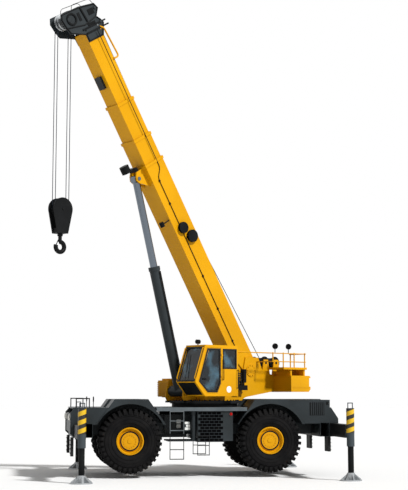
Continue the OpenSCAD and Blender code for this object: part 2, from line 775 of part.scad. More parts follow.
module cab_glass() {
  t = 8;
  mid = cab_t / 2;
  color(glass) on_cab() {
    s = seat_gap;
    xz_plate(cab_w - mid, t) polygon(side_window(door_back - 90, s));
    xz_plate(mid, t) polygon(side_window(cab_brow - 40, s));
    span([cab_back + mid, cab_back + mid + t], [100 + s, cab_w - 100 - s], [760 + s, cab_h - 130 - s]);
    span([250 + s, cab_brow - 250 - s], [140 + s, cab_w - 140 - s], [cab_h - mid, cab_h - mid + t]);
    xz_plate(80 + s, cab_w - 160 - 2 * s) polygon([[cab_front - 48, sill_h + 40 + s],
             [cab_front - 40, sill_h + 40 + s], [cab_brow + 8, cab_h - 90 - s], [cab_brow, cab_h - 90 - s]]);
  }
}

module cab_seat() {
  color(black) on_cab() {
    span([250, 790], [210, 690], [cab_t, 330]);
    span([250, 790], [190, 710], [330, 440]);
    span([170, 290], [190, 710], [440, 1060]);
    span([330, 780], [140, 190], [480, 640]);
    span([330, 780], [710, 760], [480, 640]);
    span([330, 380], [140, 190], [330, 480]);
    span([330, 380], [710, 760], [330, 480]);
    span([330, 380], [140, 190], [330, 400]);
  }
}

// Lamp on the roof and the dark panel under the windscreen
module cab_fittings() {
  low = [cab_toe, 0];
  high = [cab_front, sill_h];
  edge = high - low;
  out = [edge[1], -edge[0]] / norm(edge);
  color(black) on_cab() {
    xz_plate(70, cab_w - 140)
      polygon([low + edge * 0.1, low + edge * 0.1 + out * 9, low + edge * 0.93 + out * 9, low + edge * 0.93]);
    translate([cab_brow - 90, cab_w / 2, cab_h]) {
      cylinder(r = 18, h = 60);
      translate([-60, 0, 105]) rotate([0, 90, 0]) cylinder(r = 68, h = 120);
    }
  }
}

module cab_door() {
  color(yellow) on_cab() difference() {
    xz_plate(cab_w - cab_t, cab_t) polygon(door_inset(door_gap));
    xz_plate(cab_w - cab_t - 1, cab_t + 2) polygon(door_inset(70));
  }
  color(yellow) on_cab() for (z = hinge_z) {
    span([door_back + door_gap, door_back + 60], [cab_w, cab_w + 6], [z, z + hinge_l]);
    translate([door_back, cab_w + hinge_r, z]) cylinder(r = hinge_r - 1, h = hinge_l);
  }
}

module door_glass() {
  color(glass) on_cab() xz_plate(cab_w - cab_t / 2, 8) polygon(door_inset(70 + seat_gap));
}

module valve_bank() {
  block_z = ring_top + 420;
  color(black) on_super() {
    span([-680, -430], [tower_w / 2 + 120, tower_w / 2 + 420], [cab_z, cab_z + 1040]);
    for (i = [0 : 4])
      span([-694, -679], [tower_w / 2 + 150, tower_w / 2 + 390],
           [cab_z + 520 + i * 90, cab_z + 560 + i * 90]);
    span([-1250, -800], [tower_w / 2, tower_w / 2 + 260], [block_z, block_z + 160]);
    for (i = [0 : 3])
      translate([-1180 + i * 110, tower_w / 2 + 130, block_z + 160]) cylinder(r = 38, h = 120);
  }
}

// Rear platform: its floor, its rails and the places that the mirrors share
rail_y = weight_w / 2 - 90;
rail_h_up = weight_z + weight_h + 720;
module rear_platform() {
  y0 = tower_w / 2 + 20;
  y1 = weight_w / 2 - 40;
  top = weight_z + weight_h;
  rail = rail_h_up + 30;
  low_rail = top + 450;
  back = weight_x - weight_l + 180;
  front = pivot_x - 290;
  color(yellow) on_super() {
    span([back - 50, weight_x + 300], [y0, y1], [top + 200, top + 270]);
    for (x = [back - 20, weight_x - 140])
      span([x, x + 70], [y0 + 60, y1 - 60], [top, top + 200]);
    for (x = [back, weight_x - 240, weight_x + 270])
      bar([x, rail_y, top + 260], [x, rail_y, rail], 20);
    bar([front, rail_y, low_rail - 20], [front, rail_y, rail], 20);
    for (z = [rail_h_up, low_rail])
      bar([back - 40, rail_y, z], [front + 40, rail_y, z], 16);
    // Ties to the tower plate and across the back
    bar([front + 20, tower_w / 2, low_rail], [front + 20, rail_y + 10, low_rail], 16);
    bar([back, y0, rail_h_up], [back, y1, rail_h_up], 16);
    bar([back, y0 + 50, top + 260], [back, y0 + 50, rail], 20);
  }
}

module mirrors() {
  stem = 16.2;
  color(black) on_super() for (x = [pivot_x - 390, weight_x + 30])
    translate([x, rail_y, rail_h_up + stem]) {
      cylinder(r = 12, h = 230, $fn = 24);
      translate([0, 0, 210]) rotate([0, -90, 25]) cylinder(r = 95, h = 34);
    }
}

module winch(x) {
  color(black) on_super() translate([x, 0, winch_h]) {
    y_cylinder(winch_r, -winch_len / 2, winch_len / 2);
    for (y = [-winch_len / 2, winch_len / 2 - 20])
      y_cylinder(winch_flange_r, y, y + 20);
    y_cylinder(shaft_r, -winch_len / 2 - 70, winch_len / 2 + 70);
  }
}

// Boom
module section_tube(i) {
  w = section_w(i);
  h = section_h(i);
  len = ends[i] - tails[i];
  difference() {
    union() {
      translate([tails[i], -w / 2, -h / 2]) cube([len, w, h]);
      if (i < 3)
        translate([ends[i] - collar_l, -w / 2 - collar_t, -h / 2 - collar_t])
          cube([collar_l, w + 2 * collar_t, h + 2 * collar_t]);
      // Wear pads on the tail, which run inside the next larger section
      if (i > 0) {
        translate([tails[i], -w / 2 - boom_gap + seat_gap, -h / 4])
          cube([pad_l, w + 2 * (boom_gap - seat_gap), h / 2]);
        translate([tails[i], -w / 4, -h / 2 - gap_h + seat_gap])
          cube([pad_l, w / 2, h + 2 * (gap_h - seat_gap)]);
      }
    }
    translate([tails[i] - 1, -w / 2 + boom_t, -h / 2 + boom_t])
      cube([len + 2, w - 2 * boom_t, h - 2 * boom_t]);
  }
}

module boom_base() {
  foot_w = 2 * (tower_in - slide_gap);
  color(yellow) on_boom() {
    difference() {
      union() {
        section_tube(0);
        both_sides() xz_plate(boom_w / 2, foot_w / 2 - boom_w / 2) union() {
          circle(r = 210);
          polygon([[0, -210], [700, -boom_h / 2], [700, 60], [0, 210]]);
        }
        // Lugs for the lift cylinder's rod
        both_sides() xz_plate(rod_d / 2 + slide_gap, 50)
          polygon([[rod_pin_l - 420, -boom_h / 2 + 5], [rod_pin_l - 120, -rod_pin_d - 60],
                   [rod_pin_l, -rod_pin_d - 110], [rod_pin_l + 120, -rod_pin_d - 60],
                   [lug_end, -rod_pin_d + 20], [lug_end, -boom_h / 2 + 5]]);
      }
      translate([rod_pin_l, 0, -rod_pin_d]) y_cylinder(rod_pin_r + pin_gap, -boom_w, boom_w);
      translate([0, 0, 0]) y_cylinder(pivot_r, -tower_w, -boom_w / 2 + boom_t);
      translate([0, 0, 0]) y_cylinder(pivot_r, boom_w / 2 - boom_t, tower_w);
    }
    both_sides() y_cylinder(pivot_r, boom_w / 2 - boom_t, tower_w / 2 + 30);
  }
}

// Lamps under the base section and the rope guide on its top
module boom_fittings() {
  lug_y = rod_d / 2 + slide_gap + 50;
  lamp_y = boom_w / 2 - 70;
  color(black) on_boom() {
    translate([lug_end, -lug_y, -rod_pin_d + 20]) cube([130, 2 * lug_y, 90]);
    translate([lug_end + 90, -110, -rod_pin_d - 190]) cube([40, 220, 220]);
    translate([lug_end + 90, 0, -rod_pin_d - 220]) rotate([0, 90, 0]) cylinder(r = 150, h = 240);
    translate([5750, lamp_y, -boom_h / 2 - 250]) cylinder(r = 20, h = 250);
    translate([5680, lamp_y, -boom_h / 2 - 320]) rotate([0, 90, 0]) cylinder(r = 75, h = 150);
    for (y = [-190, 160])
      translate([6370, y, boom_h / 2]) cube([60, 30, 110]);
    translate([6400, 0, boom_h / 2 + 75]) y_cylinder(22, -165, 165);
  }
}

module cable_reels() {
  y = boom_w / 2;
  color(black) on_boom() for (p = [[5320, -80, 180], [4920, 120, 200]])
    translate([p[0], y, p[1]]) {
      y_cylinder(60, 0, 110);
      y_cylinder(p[2], 30, 50);
      y_cylinder(p[2] - 60, 40, 100);
      y_cylinder(p[2], 90, 110);
    }
}

module boom_mid_outer() {
  color(yellow) on_boom() section_tube(1);
}

module boom_mid_inner() {
  color(yellow) on_boom() section_tube(2);
}

module boom_tip() {
  color(yellow) on_boom() section_tube(3);
}

// Head plates on both sides of the tip, with their sheave shafts' and jib pins' bores
module boom_head() {
  w = section_w(3);
  h = section_h(3);
  color(grey) on_boom() {
    both_sides() difference() {
      xz_plate(w / 2 + seat_gap, head_plate) polygon([[tip_end - 300, -h / 2], [tip_end - 300, h / 2],
               [tip_end + 50, h / 2 + 210], [tip_end + 170, h / 2 + 150], [tip_end + 310, h / 2 + 40],
               [tip_end + 520, h / 2 + 230], [tip_end + 700, h / 2 + 150], [head_x + 240, -160],
               [head_x + 250, -head_drop - 190], [head_x + 90, -head_drop - 280],
               [head_x - 210, -head_drop - 230], [head_x - 400, -head_drop - 160], [tip_end - 60, -h / 2]]);
      translate([head_x, 0, -head_drop]) y_cylinder(shaft_r, -boom_w, boom_w);
      for (x = guide_x)
        translate([x, 0, h / 2 + 95]) y_cylinder(shaft_r, -boom_w, boom_w);
      for (d = [60 - h / 2, h / 2 - 60])
        translate([tip_end + 60, 0, d]) y_cylinder(jib_bore / 2, -boom_w, boom_w);
    }
    // Tie tube between the plates
    translate([head_x - 20, 0, 60]) y_cylinder(55, -w / 2 - 1, w / 2 + 1);
    // Rest for the stowed hook, under the tip
    translate([tip_end - 1780, -120, -h / 2 - 110]) cube([400, 240, 110 - seat_gap]);
  }
}

module sheave(r) {
  rotate([90, 0, 0]) translate([0, 0, -sheave_w / 2]) rotate_extrude($fn = 72)
    polygon([[shaft_r - 10, 0], [r, 0], [r, 8], [r - rope_d, sheave_w / 2 - 6],
             [r - rope_d, sheave_w / 2 + 6], [r, sheave_w - 8], [r, sheave_w], [shaft_r - 10, sheave_w]]);
}

module head_sheaves() {
  w = section_w(3);
  h = section_h(3);
  color(pale) on_boom() {
    translate([head_x, 0, -head_drop]) {
      y_cylinder(shaft_r, -w / 2 - head_plate - 20, w / 2 + head_plate + 20);
      for (y = [-sheave_pitch / 2, sheave_pitch / 2])
        translate([0, y, 0]) sheave(sheave_d / 2);
    }
    for (x = guide_x)
      translate([x, 0, h / 2 + 95]) {
        y_cylinder(shaft_r, -w / 2 - head_plate - 20, w / 2 + head_plate + 20);
        for (y = [-sheave_pitch / 2, sheave_pitch / 2])
          translate([0, y, 0]) sheave(125);
      }
  }
}

// Lift cylinder, along X from its foot
module lift_barrel() {
  eye = tower_in - slide_gap;
  color(grey) on_lift() difference() {
    union() {
      translate([60, 0, 0]) rotate([0, 90, 0]) cylinder(r = barrel_d / 2, h = barrel_l - 60);
      translate([barrel_l - 120, 0, 0]) rotate([0, 90, 0]) cylinder(r = barrel_d / 2 + 18, h = 120);
      y_cylinder(170, -eye, eye);
    }
    translate([260, 0, 0]) rotate([0, 90, 0]) cylinder(r = rod_d / 2 + pin_gap, h = barrel_l);
    y_cylinder(76, -eye - 1, eye + 1);
  }
}

module lift_rod() {
  eye = rod_d / 2 + 3;
  tail = barrel_l - rod_in;
  color(pale) on_lift() {
    translate([tail, 0, 0]) rotate([0, 90, 0]) cylinder(r = rod_d / 2, h = lift_len - tail - 60);
    translate([lift_len, 0, 0]) y_cylinder(128, -eye, eye);
    translate([lift_len, 0, 0]) y_cylinder(rod_pin_r, -rod_d / 2 - slide_gap - 70, rod_d / 2 + slide_gap + 70);
  }
}

// Hook
module hoist_falls() {
  r = sheave_d / 2 - rope_d / 2 + seat_gap;
  drop = falls_l + block_r;
  color(black) on_falls()
    for (x = [-r, r], y = [-sheave_pitch / 2, sheave_pitch / 2])
      translate([x, y, -drop]) cylinder(r = rope_d / 2, h = drop, $fn = 24);
}

module hook_block() {
  foot = 185;
  color(black) on_falls() translate([0, 0, -falls_l]) {
    // Two cheeks, round over the sheaves and drawn in to the swivel
    for (y = [-block_w / 2, block_w / 2 - 40])
      xz_plate(y, 40) union() {
        translate([0, -block_r]) circle(r = block_r, $fn = 72);
        polygon([[-block_r * 0.985, -block_r - 55], [block_r * 0.985, -block_r - 55], [foot, -block_h],
                 [-foot, -block_h]]);
      }
    translate([0, 0, -block_r]) y_cylinder(shaft_r, -block_w / 2 - 15, block_w / 2 + 15);
    for (y = [-sheave_pitch / 2, sheave_pitch / 2])
      translate([0, y, -block_r]) sheave(sheave_d / 2);
    difference() {
      span([-foot + 10, foot - 10], [-block_w / 2 + 1, block_w / 2 - 1], [-block_h + 5, -block_h + 150]);
      translate([0, 0, -block_h]) cylinder(r = 55 + pin_gap, h = 300);
    }
  }
}

module hook() {
  bowl_r = 148;
  thick = 66;
  bowl_z = -block_h - 395;
  tip = [bowl_r * cos(18), 0, bowl_z + bowl_r * sin(18)];
  color(black) on_falls() translate([0, 0, -falls_l]) {
    translate([0, 0, bowl_z + bowl_r]) cylinder(r = 55, h = 250 - 5 + 130 - 1);
    translate([0, 0, -block_h - 75]) cylinder(r = 80, h = 70);
    translate([0, 0, bowl_z]) rotate([90, 0, 0]) rotate([0, 0, 90]) rotate_extrude(angle = 288)
      translate([bowl_r, 0]) circle(r = thick);
    // Safety latch
    bar([30, 0, -block_h - 130], tip + [-10, 0, 20], 14);
  }
}

carrier_frame();
outrigger_boxes();
deck();
fenders();
engine_hood();
engine_block();
side_boxes();
ladders();
axles();
slew_ring();
carrier_lamps();
carrier_rails();
mud_flaps();
knuckle(true, true);  // knuckle_front_left
knuckle(true, false);  // knuckle_front_right
knuckle(false, true);  // knuckle_rear_left
knuckle(false, false);  // knuckle_rear_right
tyre(true, true);  // tyre_front_left
tyre(true, false);  // tyre_front_right
tyre(false, true);  // tyre_rear_left
tyre(false, false);  // tyre_rear_right
rim(true, true);  // rim_front_left
rim(true, false);  // rim_front_right
rim(false, true);  // rim_rear_left
rim(false, false);  // rim_rear_right
beam(true, true);  // beam_front_left
beam(true, false);  // beam_front_right
beam(false, true);  // beam_rear_left
beam(false, false);  // beam_rear_right
jack(true, true);  // jack_front_left
jack(true, false);  // jack_front_right
jack(false, true);  // jack_rear_left
jack(false, false);  // jack_rear_right
turntable();
counterweight();
cab_shell();
cab_glass();
cab_seat();
valve_bank();
rear_platform();
mirrors();
cab_fittings();
cab_door();
door_glass();
winch(main_winch_x);  // main_winch
winch(aux_winch_x);  // aux_winch
boom_base();
boom_fittings();
cable_reels();
boom_mid_outer();
boom_mid_inner();
boom_tip();
boom_head();
head_sheaves();
lift_rod();
lift_barrel();
hoist_falls();
hook_block();
hook();
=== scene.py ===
import json
import math

import bmesh
import bpy
from mathutils import Matrix, Vector


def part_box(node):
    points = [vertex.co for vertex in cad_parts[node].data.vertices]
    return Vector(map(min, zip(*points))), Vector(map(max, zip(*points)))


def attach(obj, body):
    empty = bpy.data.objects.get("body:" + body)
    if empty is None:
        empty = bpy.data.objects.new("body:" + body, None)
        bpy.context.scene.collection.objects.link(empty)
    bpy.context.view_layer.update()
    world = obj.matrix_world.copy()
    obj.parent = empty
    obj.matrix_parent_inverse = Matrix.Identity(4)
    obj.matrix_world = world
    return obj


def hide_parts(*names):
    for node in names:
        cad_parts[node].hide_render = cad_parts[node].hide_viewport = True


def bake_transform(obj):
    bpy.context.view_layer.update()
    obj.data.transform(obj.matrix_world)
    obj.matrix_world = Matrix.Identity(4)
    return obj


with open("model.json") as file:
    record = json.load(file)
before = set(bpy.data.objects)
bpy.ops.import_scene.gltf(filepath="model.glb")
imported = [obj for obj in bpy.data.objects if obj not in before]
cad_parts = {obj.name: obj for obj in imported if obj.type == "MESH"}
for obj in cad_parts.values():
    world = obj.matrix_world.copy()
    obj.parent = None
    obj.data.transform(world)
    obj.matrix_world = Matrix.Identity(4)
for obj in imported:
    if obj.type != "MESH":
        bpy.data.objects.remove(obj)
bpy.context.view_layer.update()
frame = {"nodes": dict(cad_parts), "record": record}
nodes = frame["nodes"]
joints = {joint["name"]: joint for joint in frame["record"]["behaviour"]["joints"]}
ends, sides = ("front", "rear"), {"left": 1, "right": -1}
print("frame loaded:", len(nodes), "nodes")


# sRGB hex to linear RGBA
def paint(code):
    channels = [int(code[i:i + 2], 16) / 255 for i in (1, 3, 5)]
    linear = [c / 12.92 if c <= 0.04045 else ((c + 0.055) / 1.055) ** 2.4 for c in channels]
    return (*linear, 1.0)


# Camera: where the picture was taken from, a little ahead of the crane's left side
camera = {
    "place": (6.18, 38.25, 2.50),
    "turn": 9.15,         # degrees from square to the left side, towards the rear
    "tilt": 7.135,        # degrees up
    "focal": 1200,        # in pixels
    "height": 490,        # of the picture, in pixels
    "sensor": 36,         # millimetres along the picture's height
    "farthest": 400,
}
cameraData = bpy.data.cameras.new("pictureCamera")
cameraData.sensor_width = camera["sensor"]
cameraData.lens = camera["focal"] / camera["height"] * camera["sensor"]
cameraData.clip_end = camera["farthest"]
cameraObject = bpy.data.objects.new("pictureCamera", cameraData)
cameraObject.location = camera["place"]
cameraObject.rotation_euler = (math.radians(90 + camera["tilt"]), 0, math.radians(180 - camera["turn"]))
bpy.context.collection.objects.link(cameraObject)
bpy.context.scene.camera = cameraObject
print("camera placed")


# A frame from its origin, its X and its Y direction
def axesAt(origin, x, y):
    axes = Matrix((x, y, x.cross(y))).transposed()
    return Matrix.Translation(origin) @ axes.to_4x4()


# A place turned by degrees about one of its axes; about X, -90 lays its Z along Y
def turned(place, degrees, axis="X"):
    return Matrix.Translation(place) @ Matrix.Rotation(math.radians(degrees), 4, axis)


# The crane's own frames. The jacks lift the crane, and heights in the carrier's and the superstructure's
# frame count from the line that the wheels would stand on.
lift = 0.18
up = Vector((0, 0, 1))
carrierFrame = Matrix.Translation((0, 0, lift))
across = -Vector(joints["boom_luff"]["axis"])
along = Vector(joints["telescope_mid_outer"]["axis"])
superFrame = axesAt((0, 0, lift), across.cross(up), across)
boomFrame = axesAt(joints["boom_luff"]["pos_m"], along, across)
liftAxis = -Vector(joints["lift_stroke"]["axis"])
liftFrame = axesAt(joints["lift_rod_swing"]["pos_m"], liftAxis, across)


# One node with its settings, and links into its inputs
def addNode(tree, kind, settings=None, **links):
    node = tree.nodes.new(kind)
    for key, value in (settings or {}).items():
        if isinstance(key, str) and hasattr(node, key):
            setattr(node, key, value)
        else:
            node.inputs[key].default_value = value
    for key, source in links.items():
        socket = node.inputs[int(key[1:])] if key[0] == "i" and key[1:].isdigit() else node.inputs[key]
        tree.links.new(source, socket)
    return node


# A material with a Principled shader, and its Object coordinates
def startMaterial(name, colour, roughness, metallic=0.0, shine=0.5, **sockets):
    material = bpy.data.materials.new(name)
    material.use_nodes = True
    tree = material.node_tree
    shader = tree.nodes["Principled BSDF"]
    shader.inputs["Base Color"].default_value = paint(colour)
    shader.inputs["Roughness"].default_value = roughness
    shader.inputs["Metallic"].default_value = metallic
    shader.inputs["Specular IOR Level"].default_value = shine
    for key, value in sockets.items():
        shader.inputs[key.replace("_", " ")].default_value = value
    coords = addNode(tree, "ShaderNodeTexCoord").outputs["Object"]
    return material, tree, shader, coords


# Colour that drifts between two shades over a patch size in metres, with a bump of a finer grain
def weather(tree, shader, coords, shades, patch, grain, depth, rough=None):
    drift = addNode(tree, "ShaderNodeTexNoise", {"Scale": 1 / patch, "Detail": 5.0}, Vector=coords)
    ramp = addNode(tree, "ShaderNodeValToRGB", Fac=drift.outputs["Fac"])
    ramp.color_ramp.elements[0].position = 0.35
    ramp.color_ramp.elements[1].position = 0.68
    ramp.color_ramp.elements[0].color = paint(shades[0])
    ramp.color_ramp.elements[1].color = paint(shades[1])
    tree.links.new(ramp.outputs["Color"], shader.inputs["Base Color"])
    if rough:
        spread = addNode(tree, "ShaderNodeMapRange", {"To Min": rough[0], "To Max": rough[1]},
                         Value=drift.outputs["Fac"])
        tree.links.new(spread.outputs["Result"], shader.inputs["Roughness"])
    fine = addNode(tree, "ShaderNodeTexNoise", {"Scale": 1 / grain, "Detail": 3.0}, Vector=coords)
    bump = addNode(tree, "ShaderNodeBump", {"Strength": 0.25, "Distance": depth}, Height=fine.outputs["Fac"])
    tree.links.new(bump.outputs["Normal"], shader.inputs["Normal"])
    return ramp


# A second colour wherever a mask is 1
def paintOver(tree, shader, ramp, mask, colour):
    mix = addNode(tree, "ShaderNodeMix", {"data_type": "RGBA", 7: paint(colour)},
                  i0=mask.outputs["Value"], i6=ramp.outputs["Color"])
    tree.links.new(mix.outputs[2], shader.inputs["Base Color"])


# A second colour below a height, such as a base in another paint
def twoTone(tree, shader, coords, ramp, height, colour):
    level = addNode(tree, "ShaderNodeSeparateXYZ", Vector=coords)
    below = addNode(tree, "ShaderNodeMath", {"operation": "LESS_THAN", 1: height}, i0=level.outputs["Z"])
    paintOver(tree, shader, ramp, below, colour)
    return below


# Scale of a wave texture whose bands lie a pitch apart, in metres
def bandsAt(pitch):
    return math.pi / 10 / pitch


# Two-pack polyurethane enamel, sprayed on steel: glossy with a faint orange peel about 12 mm across
def yellowEnamel(name="yellowEnamel", base=None):
    material, tree, shader, coords = startMaterial(name, "#CE9408", 0.34, shine=0.12)
    ramp = weather(tree, shader, coords, ("#C98E05", "#D69B0A"), 1.8, 0.012, 0.0006, (0.3, 0.44))
    if base:
        twoTone(tree, shader, coords, ramp, base, "#232527")
    return material


# The same enamel in slate grey, duller where road dust has settled
def greyEnamel():
    material, tree, shader, coords = startMaterial("greyEnamel", "#212629", 0.42, shine=0.2)
    weather(tree, shader, coords, ("#1E2325", "#2A3033"), 0.9, 0.012, 0.0006, (0.36, 0.52))
    return material


# Black chassis paint, brushed, semi-matt
def blackPaint():
    material, tree, shader, coords = startMaterial("blackChassisPaint", "#0F1011", 0.45, shine=0.08)
    weather(tree, shader, coords, ("#0C0D0E", "#161718"), 0.6, 0.02, 0.0008, (0.42, 0.58))
    return material


# Jack legs: black phosphated tube over a cast aluminium float, bare and light grey
def jackFinish(floatTop):
    material, tree, shader, coords = startMaterial("jackTubeAndCastFloat", "#121314", 0.5, shine=0.06)
    ramp = weather(tree, shader, coords, ("#0D0E0F", "#181A1B"), 0.5, 0.012, 0.001, (0.38, 0.55))
    below = twoTone(tree, shader, coords, ramp, floatTop, "#A6A9AB")
    metal = addNode(tree, "ShaderNodeMath", {"operation": "MULTIPLY", 1: 0.7}, i0=below.outputs["Value"])
    tree.links.new(metal.outputs["Value"], shader.inputs["Metallic"])
    return material


# Ladders: galvanised steps above, and below a height the hanging step in black rubber
def ladderFinish(height):
    material, tree, shader, coords = startMaterial("galvanisedStepsBlackBelow", "#5E6467", 0.5, shine=0.2)
    ramp = weather(tree, shader, coords, ("#53585B", "#6A7073"), 0.3, 0.01, 0.0006, (0.42, 0.58))
    twoTone(tree, shader, coords, ramp, height, "#0F1011")
    return material


# Outriggers: black beams, with the jack tubes past a distance from the middle in slate grey
def outriggerFinish(distance):
    material, tree, shader, coords = startMaterial("outriggerPaint", "#0F1011", 0.45, shine=0.1)
    ramp = weather(tree, shader, coords, ("#0C0D0E", "#161718"), 0.6, 0.02, 0.0008, (0.4, 0.55))
    place = addNode(tree, "ShaderNodeSeparateXYZ", Vector=coords)
    reach = addNode(tree, "ShaderNodeMath", {"operation": "ABSOLUTE"}, i0=place.outputs["Y"])
    beyond = addNode(tree, "ShaderNodeMath", {"operation": "GREATER_THAN", 1: distance},
                     i0=reach.outputs["Value"])
    paintOver(tree, shader, ramp, beyond, "#3D4448")
    return material


# Hazard sleeve: yellow and black bands wound round the tube, printed on film, worn in patches of 70 mm
def hazardFilm():
    material, tree, shader, coords = startMaterial("hazardStripeFilm", "#D3A908", 0.4)
    place = addNode(tree, "ShaderNodeUVMap", {"uv_map": "wrap"})
    split = addNode(tree, "ShaderNodeSeparateXYZ", Vector=place.outputs["UV"])
    slant = addNode(tree, "ShaderNodeMath", {"operation": "ADD"},
                    i0=split.outputs["X"], i1=split.outputs["Y"])
    saw = addNode(tree, "ShaderNodeMath", {"operation": "FRACT"}, i0=slant.outputs["Value"])
    band = addNode(tree, "ShaderNodeMath", {"operation": "LESS_THAN", 1: 0.47}, i0=saw.outputs["Value"])
    worn = addNode(tree, "ShaderNodeTexNoise", {"Scale": 14.0, "Detail": 4.0}, Vector=coords)
    tint = addNode(tree, "ShaderNodeMapRange", {"To Min": 0.86, "To Max": 1.1}, Value=worn.outputs["Fac"])
    mix = addNode(tree, "ShaderNodeMix", {"data_type": "RGBA", 6: paint("#D3A908"), 7: paint("#14110C")},
                  i0=band.outputs["Value"])
    faded = addNode(tree, "ShaderNodeVectorMath", {"operation": "SCALE"},
                    i0=mix.outputs[2], Scale=tint.outputs["Result"])
    tree.links.new(faded.outputs["Vector"], shader.inputs["Base Color"])
    return material


# Grey anti-slip deck paint: sharp grit about 6 mm apart, drawn coarse so that it shows
def deckPaint():
    material, tree, shader, coords = startMaterial("antiSlipDeckPaint", "#51585C", 0.7, shine=0.3)
    weather(tree, shader, coords, ("#495054", "#5C6367"), 0.5, 0.006, 0.003, (0.62, 0.8))
    return material


# Moulded carbon-black tyre rubber: matt, with a dusty bloom
def tyreRubber():
    material, tree, shader, coords = startMaterial("mouldedTyreRubber", "#121213", 0.7, shine=0.06)
    weather(tree, shader, coords, ("#0E0E0F", "#1A1919"), 0.35, 0.02, 0.002, (0.6, 0.8))
    return material


# Black EPDM rubber of gaskets and flaps
def gasketRubber():
    material, tree, shader, coords = startMaterial("gasketRubber", "#141516", 0.6, shine=0.2)
    weather(tree, shader, coords, ("#101112", "#1B1C1D"), 0.3, 0.01, 0.0005, (0.52, 0.68))
    return material


# Tinted toughened glass: dark panes, with pale blue patches about half a metre across painted in as
# reflections of the sky
def tintedGlass():
    material, tree, shader, coords = startMaterial("tintedGlass", "#5F7F86", 0.03, shine=0.25, IOR=1.5,
                                                   Transmission_Weight=0.7)
    drift = addNode(tree, "ShaderNodeTexNoise", {"Scale": 1.9, "Detail": 3.0}, Vector=coords)
    # The ramp's pale blue stop is a painted reflection of the sky
    ramp = addNode(tree, "ShaderNodeValToRGB", Fac=drift.outputs["Fac"])
    ramp.color_ramp.elements[0].position = 0.50
    ramp.color_ramp.elements[1].position = 0.74
    ramp.color_ramp.elements[0].color = paint("#14222A")
    ramp.color_ramp.elements[1].color = paint("#7DB2CC")
    tree.links.new(ramp.outputs["Color"], shader.inputs["Base Color"])
    bump = addNode(tree, "ShaderNodeBump", {"Strength": 0.05, "Distance": 0.004}, Height=drift.outputs["Fac"])
    tree.links.new(bump.outputs["Normal"], shader.inputs["Normal"])
    return material


# Moulded acrylic lamp lens, ribbed about every 8 mm
def lampLens(name="acrylicLampLens", colour="#E4E2DA", shine=0.5):
    material, tree, shader, coords = startMaterial(name, colour, 0.15, shine=shine)
    ribs = addNode(tree, "ShaderNodeTexWave", {"Scale": bandsAt(0.007854), "bands_direction": "Z"},
                   Vector=coords)
    bump = addNode(tree, "ShaderNodeBump", {"Strength": 0.4, "Distance": 0.003}, Height=ribs.outputs["Fac"])
    tree.links.new(bump.outputs["Normal"], shader.inputs["Normal"])
    return material


# Woven polyester seat cloth, charcoal, threads 3 mm apart so that they show
def seatCloth():
    material, tree, shader, coords = startMaterial("wovenSeatCloth", "#26282B", 0.9, Sheen_Weight=0.3)
    threads = bandsAt(0.002992)
    warp = addNode(tree, "ShaderNodeTexWave", {"Scale": threads, "bands_direction": "Y"}, Vector=coords)
    weft = addNode(tree, "ShaderNodeTexWave", {"Scale": threads, "bands_direction": "Z"}, Vector=coords)
    weave = addNode(tree, "ShaderNodeMath", {"operation": "MULTIPLY"},
                    i0=warp.outputs["Fac"], i1=weft.outputs["Fac"])
    bump = addNode(tree, "ShaderNodeBump", {"Strength": 0.5, "Distance": 0.002},
                   Height=weave.outputs["Value"])
    tree.links.new(bump.outputs["Normal"], shader.inputs["Normal"])
    return material


# Cast steel of the head sheaves, shot-blasted: light grey, with a sandy skin of 8 mm grains so that it shows
def castSteel():
    material, tree, shader, coords = startMaterial("castSteel", "#B4B7B8", 0.48, 0.85)
    weather(tree, shader, coords, ("#A5A8AA", "#C4C7C8"), 0.3, 0.008, 0.001, (0.4, 0.58))
    return material


# Hard chrome on a ground rod: mirror-like, duller in patches about 110 mm long
def hardChrome():
    material, tree, shader, coords = startMaterial("hardChrome", "#6E767F", 0.2, 1.0)
    drift = addNode(tree, "ShaderNodeTexNoise", {"Scale": 9.0, "Detail": 4.0}, Vector=coords)
    spread = addNode(tree, "ShaderNodeMapRange", {"To Min": 0.14, "To Max": 0.28}, Value=drift.outputs["Fac"])
    tree.links.new(spread.outputs["Result"], shader.inputs["Roughness"])
    return material


# Galvanised wire rope: dark with grease, its strands laid at about 60 mm
def wireRope():
    material, tree, shader, coords = startMaterial("galvanisedWireRope", "#1A2029", 0.5, shine=0.1)
    lay = addNode(tree, "ShaderNodeTexWave", {"Scale": bandsAt(0.06283), "bands_direction": "DIAGONAL"},
                  Vector=coords)
    bump = addNode(tree, "ShaderNodeBump", {"Strength": 0.6, "Distance": 0.004}, Height=lay.outputs["Fac"])
    tree.links.new(bump.outputs["Normal"], shader.inputs["Normal"])
    return material


# Slots of the step panel: painted shade, matt black with no shine, in place of the dark inside of the slots
def slotShade():
    material, tree, shader, coords = startMaterial("paintedSlotShade", "#060607", 0.9, shine=0.0)
    weather(tree, shader, coords, ("#040405", "#0B0B0C"), 0.2, 0.01, 0.0004)
    return material


# Enamelled sign plate, white and left blank
def signPlate():
    material, tree, shader, coords = startMaterial("enamelledSignPlate", "#E8E9E6", 0.35)
    weather(tree, shader, coords, ("#DCDDD9", "#F0F1EE"), 0.08, 0.01, 0.0004, (0.3, 0.45))
    return material


finishes = {
    "yellow_paint": yellowEnamel(),
    "grey_paint": greyEnamel(),
    "black_paint": blackPaint(),
    "deck_metal": deckPaint(),
    "tyre_rubber": tyreRubber(),
    "rubber": gasketRubber(),
    "glass": tintedGlass(),
    "lamp_lens": lampLens(),
    "seat_fabric": seatCloth(),
    "steel": castSteel(),
    "chrome": hardChrome(),
    "wire_rope": wireRope(),
    "hazardFilm": hazardFilm(),
    "mattSlots": slotShade(),
    "signPlate": signPlate(),
    "redLens": lampLens("redAcrylicLens", "#A00E0A", 0.1),
}
print("materials made:", len(finishes))

